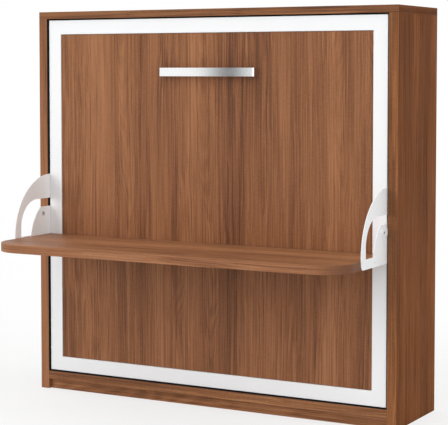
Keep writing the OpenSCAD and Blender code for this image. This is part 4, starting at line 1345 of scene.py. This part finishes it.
    @staticmethod
    def add_sides(slab: WovenShape, loops: Sequence[Sequence[bmesh.types.BMVert]],
                  heights: Sequence[float]) -> None:
        """Joins the rings between the two faces.

        Args:
            slab: The slab in the making.
            loops: The points of each ring, from the lower face to the upper one.
            heights: How far up the cloth each ring lies.
        """
        middle_ring = loops[4]
        count = len(middle_ring)
        lengths = [0.0]
        for here in range(count):
            lengths.append(lengths[-1] + (middle_ring[(here + 1) % count].co - middle_ring[here].co).length)
        for lower, upper, v0, v1 in zip(loops, loops[1:], heights, heights[1:]):
            for here in range(count):
                after = (here + 1) % count
                u0, u1 = lengths[here], lengths[here + 1]
                slab.quad([lower[here], lower[after], upper[after], upper[here]],
                          [(u0, v0), (u1, v0), (u1, v1), (u0, v1)])

    def on_face(self, x: float, z: float, radius: float, level: float) -> tuple[float, float, float]:
        """Returns the place of a grid point at a level over the slab's lower face."""
        out_x, out_z = self.rounded(x, z, radius)
        return self.middle.x + out_x, self.low.y + level, self.middle.z + out_z

    @staticmethod
    def outline(columns: int, lines: int) -> list[tuple[int, int]]:
        """Returns the grid numbers round a face, once round."""
        found = [(column, 0) for column in range(columns)]
        found += [(columns - 1, line) for line in range(1, lines)]
        found += [(column, lines - 1) for column in range(columns - 2, -1, -1)]
        found += [(0, line) for line in range(lines - 2, 0, -1)]
        return found

    def build_mattress(self) -> None:
        """Blows the slab up between its seams, holds it in its space and smooths it."""
        shape, pinned = self.build_shape()
        shape.verts.ensure_lookup_table()
        piece = self.bench.mesh_piece("quilted_mattress", shape, TICKING)
        flat = [vertex.co.copy() for vertex in piece.data.vertices]
        full = self.blown(piece, pinned)
        held = set(pinned)
        for vertex, start, end in zip(piece.data.vertices, flat, full):
            if vertex.index not in held:
                vertex.co = self.kept(start, end)
        smooth = piece.modifiers.new("smooth cover", "SUBSURF")
        smooth.levels = 1
        smooth.render_levels = 1
        self.bench.settle(piece)
        self.bench.stand_in(piece, "mattress")

    def blown(self, piece: bpy.types.Object, pinned: list[int]) -> list[Vector]:
        """Lets cloth under pressure settle on its pins and returns where each point went."""
        group = piece.vertex_groups.new(name="seams")
        group.add(pinned, 1.0, "REPLACE")
        cloth = piece.modifiers.new("padding", "CLOTH")
        cloth.settings.quality = 5
        cloth.settings.mass = 0.3
        cloth.settings.use_pressure = True
        cloth.settings.uniform_pressure_force = self.pressure
        cloth.settings.vertex_group_mass = group.name
        cloth.settings.effector_weights.gravity = 0.0
        cloth.collision_settings.use_collision = False
        cloth.point_cache.frame_start = 1
        cloth.point_cache.frame_end = self.frames
        scene = bpy.context.scene
        for frame in range(1, self.frames + 1):
            scene.frame_set(frame)
        depsgraph = bpy.context.evaluated_depsgraph_get()
        settled = piece.evaluated_get(depsgraph).data
        found = [vertex.co.copy() for vertex in settled.vertices]
        piece.modifiers.clear()
        piece.vertex_groups.clear()
        scene.frame_set(1)
        return found

    def kept(self, start: Vector, end: Vector) -> Vector:
        """Holds a point near its start, inside the mattress's space and under the straps."""
        move = end - start
        on_top = start.y > self.high.y - self.sink - self.roll * 0.3
        cap = self.puff if on_top else self.border_puff
        if move.length > cap:
            move *= cap / move.length
        place = start + move
        ceiling = self.high.y - self.top_slack
        for low, high in self.strap_boxes:
            if low.z - self.strap_room < place.z < high.z + self.strap_room:
                ceiling = self.high.y - self.strap_drop - self.strap_gap
        place.y = max(min(place.y, ceiling), self.low.y)
        return place

    def build_trim(self) -> None:
        """Sews the piping on both edges and the quilting on the face."""
        outline = self.outline(len(self.lines(self.half.x)), len(self.lines(self.half.z)))
        loops = [self.piped_edge(outline, radius, level) for radius, level, pinned in self.rings() if pinned]
        piping = Piping.run(self.bench, "mattress_piping", paths(*loops, closed=True), PIPING,
                            Radius=self.piping_r)
        self.bench.put(piping, "bed", "ticking")
        quilting = Stitches.run(self.bench, "quilting_stitches", paths(*self.seams()), THREAD,
                                Pitch=self.stitch_pitch, Thickness=0.0014)
        self.bench.put(quilting, "bed", "ticking")

    def piped_edge(self, outline: Sequence[tuple[int, int]], radius: float, level: float) -> list[Triple]:
        """Returns the path of the piping along one edge, a little outside the cover.

        Args:
            outline: The grid numbers round a face.
            radius: The ring's radius at the slab's corners.
            level: The ring's height over the lower face.

        Returns:
            The path's points.
        """
        across, upwards = self.lines(self.half.x), self.lines(self.half.z)
        outwards = -self.piping_out if level < self.half.y else self.piping_out
        found = []
        for i, j in outline:
            x, y, z = self.on_face(across[i], upwards[j], radius + self.piping_out, level)
            found.append((x, y + outwards, z))
        return found

    def seams(self) -> list[list[Triple]]:
        """Returns the path of each seam of the quilting on the face."""
        level = self.high.y - self.seam_sink + self.stitch_lift
        middle = self.middle
        reach_x, reach_z = (half - self.side_give - self.roll - 0.02 for half in (self.half.x, self.half.z))
        found = []
        for number in range(1, self.squares):
            share = 2 * number / self.squares - 1
            x, z = self.half.x * share, self.half.z * share
            found.append([(middle.x + x, level, middle.z + way * reach_z) for way in (-1, 1)])
            found.append([(middle.x + way * reach_x, level, middle.z + z) for way in (-1, 1)])
        return found

    def strap_path(self, lift: float) -> list[tuple[float, float]]:
        """Returns the x and y of a strap's path over the mattress, raised from its inner face by a lift."""
        side = self.half.x + lift - 0.0002
        top = self.high.y - self.strap_drop + lift
        turn = self.strap_turn + lift
        found = [(side, self.low.y + 0.0005), (side, self.low.y + 0.07)]
        for step in range(7):
            angle = math.pi / 2 * step / 6
            found.append((side - turn * (1 - math.cos(angle)), top - turn * (1 - math.sin(angle))))
        found += [(side * share, top) for share in (0.6, 0.3, 0.0)]
        mirrored = [(-x, y) for x, y in reversed(found[:-1])]
        return [(self.middle.x + x, y) for x, y in found + mirrored]

    def build_straps(self) -> None:
        """Lays two webbing straps over the mattress, sewn along both edges."""
        woven = WovenShape()
        rows = []
        for low, high in self.strap_boxes:
            z = (low.z + high.z) / 2
            self.add_strap(woven, z)
            for way in (-1, 1):
                sewn = z + way * (self.strap_w / 2 - self.strap_seam)
                line = self.strap_path(self.strap_t + 0.0001)
                line[0], line[-1] = ((x, y + 0.006) for x, y in (line[0], line[-1]))
                rows.append([(x, y, sewn) for x, y in line])
        bmesh.ops.recalc_face_normals(woven.shape, faces=woven.shape.faces)
        straps = self.bench.mesh_piece("webbing_straps", woven.shape, WEBBING)
        self.bench.ease(straps, 0.0003, 1)
        self.bench.stand_in(straps, "mattress_straps")
        thread = Stitches.run(self.bench, "strap_stitches", paths(*rows), BLACK_THREAD, Pitch=0.008,
                              Thickness=0.0009)
        self.bench.put(thread, self.bench.body_of("mattress_straps"), "webbing")

    def add_strap(self, woven: WovenShape, z: float) -> None:
        """Adds one strap, whose middle lies at a height."""
        inner, outer = self.strap_path(0.0), self.strap_path(self.strap_t)
        lengths = [0.0]
        for first, second in zip(inner, inner[1:]):
            lengths.append(lengths[-1] + math.dist(first, second))
        sides = ((inner, -1), (inner, 1), (outer, 1), (outer, -1))
        stations = [[woven.point((*line[at], z + way * self.strap_w / 2)) for line, way in sides]
                    for at in range(len(inner))]
        across = (0.0, self.strap_w, self.strap_w + self.strap_t, 2 * self.strap_w, 2 * self.strap_w)
        for at, here in product(range(len(stations) - 1), range(len(sides))):
            ids = ((at, here), (at, here + 1), (at + 1, here + 1), (at + 1, here))
            woven.quad([stations[station][turn % len(sides)] for station, turn in ids],
                       [(across[turn], lengths[station]) for station, turn in ids])
        woven.shape.faces.new(stations[0])
        woven.shape.faces.new(tuple(reversed(stations[-1])))


@dataclass
class Desk:
    """The desk board between its two quarter-round plates."""

    bench: Bench
    board_round: float = 0.0025
    side_rounds: ClassVar[dict[str, float]] = {"desk_plate": 0.0006, "desk_arm": 0.0004,
                                               "parallel_rod": 0.0004}
    bolt_round: float = 0.0012
    pin_round: float = 0.0003
    socket_r: float = 0.006
    shade_ring_r: float = 0.0108
    band_turn: float = 0.68
    # How much painted shade darkens the band where the board looks fully to the right.
    right_painted_shade_share: float = 0.8
    dark_from: float = 0.2
    dark_full: float = 0.9

    def build(self) -> None:
        """Dresses the desk and its ironwork."""
        board = self.bench.eased("desk_board", self.board_round, 3)
        # The front and end edges take the lighter walnut, which is painted light.
        for way in (FORWARD, RIGHTWARD, LEFTWARD):
            self.bench.face(board, WALNUT_BAND_LIT, way, self.band_turn)
        self.paint_right_shade(board)
        for side in SIDES:
            self.bench.ease_all(self.side_rounds, f"_{side}")
        self.build_bolts()
        self.bench.screws("desk_screws", "desk_socket_screws", RIGHTWARD, Head_radius=0.0042,
                          Head_height=0.0004, Shank_radius=0.0025, Socket_depth=0.0016)
        self.bench.eased("link_pins", self.pin_round)

    def paint_right_shade(self, board: bpy.types.Object) -> None:
        """Notes how far each corner of the board looks to the right, where painted shade darkens its edge
        band.
        """
        span = self.dark_full - self.dark_from
        turns = [(corner.normal.x - self.dark_from) / span for corner in board.data.vertices]
        shares = [min(1.0, max(0.0, turn)) * self.right_painted_shade_share for turn in turns]
        board.data.attributes.new("right_painted_shade", "FLOAT", "POINT").data.foreach_set("value", shares)

    def build_bolts(self) -> None:
        """Dresses the pale bolt heads: the socket shows bare metal, and the grey metal round the rim is
        partly bare metal and partly painted shade of the gap round each head.
        """
        axis = self.bench.loose_boxes("desk_plate_bolts")[0]
        middle = (axis[0] + axis[1]) / 2
        bolts = self.bench.eased("desk_plate_bolts", self.bolt_round)
        bolts.data.materials.append(ZINC.material())
        for polygon in bolts.data.polygons:
            spot = polygon.center
            reach = math.hypot(spot.y - middle.y, spot.z - middle.z)
            # Painted shade: the grey ring round the head stands for the shadow gap beside it.
            if reach < self.socket_r or reach > self.shade_ring_r:
                polygon.material_index = 1


@dataclass
class StrutsAndLegs:
    """The gas struts and the legs."""

    bench: Bench
    side_rounds: ClassVar[dict[str, float]] = {"strut_cylinder": 0.0008, "strut_rod": 0.0004, "leg": 0.0006,
                                               "foot": 0.001}

    def build(self) -> None:
        """Dresses the struts and legs."""
        for side in SIDES:
            self.bench.ease_all(self.side_rounds, f"_{side}")


@dataclass(frozen=True)
class Lamp:
    """A broad distant lamp.

    Its level is how bright a white face looks that it meets squarely. Its bearing is the angle from the
    front to the right, its height the one over the horizon, and its softness the one that it spans, all
    in degrees.
    """

    title: str
    level: float
    bearing: float
    height: float
    softness: float
    mirrored: bool = True

    def build(self) -> None:
        """Sets the lamp up."""
        lamp = bpy.data.lights.new(self.title, "SUN")
        lamp.energy = self.level * math.pi
        lamp.angle = math.radians(self.softness)
        holder = bpy.data.objects.new(self.title, lamp)
        bearing, height = math.radians(self.bearing), math.radians(self.height)
        across = math.cos(height)
        towards = Vector((math.sin(bearing) * across, -math.cos(bearing) * across, math.sin(height)))
        holder.rotation_euler = towards.to_track_quat("Z", "Y").to_euler()
        holder.visible_glossy = self.mirrored
        bpy.context.scene.collection.objects.link(holder)


@dataclass
class Studio:
    """The camera at the photograph's place, a pale floor and soft light."""

    camera_place: Triple = (3.7918, -6.6878, 1.742)
    camera_turn: float = math.radians(28.87)
    camera_tilt: float = math.radians(3.154)
    lens_mm: float = 121.34
    sensor_mm: float = 36.0
    lens_shift: float = -0.13393
    lamps: tuple[Lamp, ...] = (
        Lamp("front", 0.475, bearing=-40.0, height=16.0, softness=46.0, mirrored=False),
        Lamp("top", 0.38, bearing=0.0, height=84.0, softness=100.0),
        Lamp("side", 0.28, bearing=75.0, height=20.0, softness=60.0),
    )
    world_level: float = 0.468
    mirror_bright: float = 1.0
    mirror_dim: float = 0.08
    mirror_edge: float = 0.8
    left_fade: tuple[float, float] = (-0.51, -0.413)
    right_rise: tuple[float, float] = (-0.372, -0.345)
    floor_reach: float = 7.5
    floor_glow: float = 0.69
    floor_tones: tuple[str, str] = ("f4f4f4", "f8f8f8")
    floor_bounce: str = "d8d8d8"

    def build(self) -> None:
        """Sets the stage up."""
        self.build_camera()
        self.build_world()
        for lamp in self.lamps:
            lamp.build()
        self.build_floor()
        bpy.context.scene.view_settings.view_transform = "Standard"

    def build_camera(self) -> None:
        """Places a camera that looks slightly down, through a lens that is shifted down a little."""
        lens = bpy.data.cameras.new("camera")
        lens.lens = self.lens_mm
        lens.sensor_width = self.sensor_mm
        lens.sensor_fit = "HORIZONTAL"
        lens.shift_y = self.lens_shift
        camera = bpy.data.objects.new("camera", lens)
        camera.location = self.camera_place
        camera.rotation_euler = (math.pi / 2 - self.camera_tilt, 0.0, self.camera_turn)
        bpy.context.scene.collection.objects.link(camera)
        bpy.context.scene.camera = camera

    def build_world(self) -> None:
        """Lights the object evenly, shows white to the camera, and a bright left to anything that shines."""
        world = bpy.data.worlds.new("studio")
        world.use_nodes = True
        world.node_tree.nodes.clear()
        wiring = Wiring(world.node_tree)
        rays = wiring.add("ShaderNodeLightPath").outputs
        seen = wiring.calc("MAXIMUM", rays["Is Camera Ray"], rays["Is Transmission Ray"])
        sideways = wiring.parts(wiring.add("ShaderNodeTexCoord").outputs["Generated"])["X"]
        level = wiring.spread(sideways, *self.left_fade, self.mirror_bright, self.mirror_dim)
        right = wiring.spread(sideways, *self.right_rise, 0.0, self.mirror_edge - self.mirror_dim)
        mirrored = self.background(wiring, wiring.calc("ADD", level, right))
        soft, open_white = (self.background(wiring, strength) for strength in (self.world_level, 1.0))
        lit = wiring.made("ShaderNodeMixShader", {0: rays["Is Glossy Ray"], 1: soft, 2: mirrored})
        shown = wiring.made("ShaderNodeMixShader", {0: seen, 1: lit, 2: open_white})
        wiring.add("ShaderNodeOutputWorld", {"Surface": shown})
        bpy.context.scene.world = world

    @staticmethod
    def background(wiring: Wiring, strength: Any) -> bpy.types.NodeSocket:
        """Returns a white background of this strength."""
        return wiring.made("ShaderNodeBackground", {"Color": (1.0, 1.0, 1.0, 1.0), "Strength": strength})

    def build_floor(self) -> None:
        """Lays a pale floor that keeps the object's shadow."""
        shape = bmesh.new()
        bmesh.ops.create_grid(shape, x_segments=8, y_segments=8, size=self.floor_reach)
        mesh = bpy.data.meshes.new("floor")
        shape.to_mesh(mesh)
        shape.free()
        made = bpy.data.materials.new("pale floor")
        made.use_nodes = True
        made.node_tree.nodes.clear()
        wiring = Wiring(made.node_tree)
        rays = wiring.add("ShaderNodeLightPath").outputs
        tone = wiring.mix(wiring.noise(wiring.coords(), 3.0, 3.0), *map(colour, self.floor_tones))
        tone = wiring.mix(rays["Is Camera Ray"], colour(self.floor_bounce), tone)
        matt = wiring.made("ShaderNodeBsdfDiffuse", {"Color": tone})
        white = wiring.made("ShaderNodeEmission", {"Color": (1.0, 1.0, 1.0, 1.0), "Strength": 1.0})
        share = wiring.calc("MULTIPLY", rays["Is Camera Ray"], self.floor_glow)
        both = wiring.made("ShaderNodeMixShader", {0: share, 1: matt, 2: white})
        wiring.add("ShaderNodeOutputMaterial", {"Surface": both})
        mesh.materials.append(made)
        floor = bpy.data.objects.new("floor", mesh)
        bpy.context.scene.collection.objects.link(floor)


def main() -> None:
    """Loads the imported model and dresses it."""
    logging.basicConfig(level=logging.INFO, format="%(message)s")
    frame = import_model()
    Studio().build()
    bench = Bench(frame)
    for assembly in (Cabinet(bench), BedFrame(bench), Bedding(bench), Desk(bench), StrutsAndLegs(bench)):
        assembly.build()


if __name__ == "__main__":
    main()
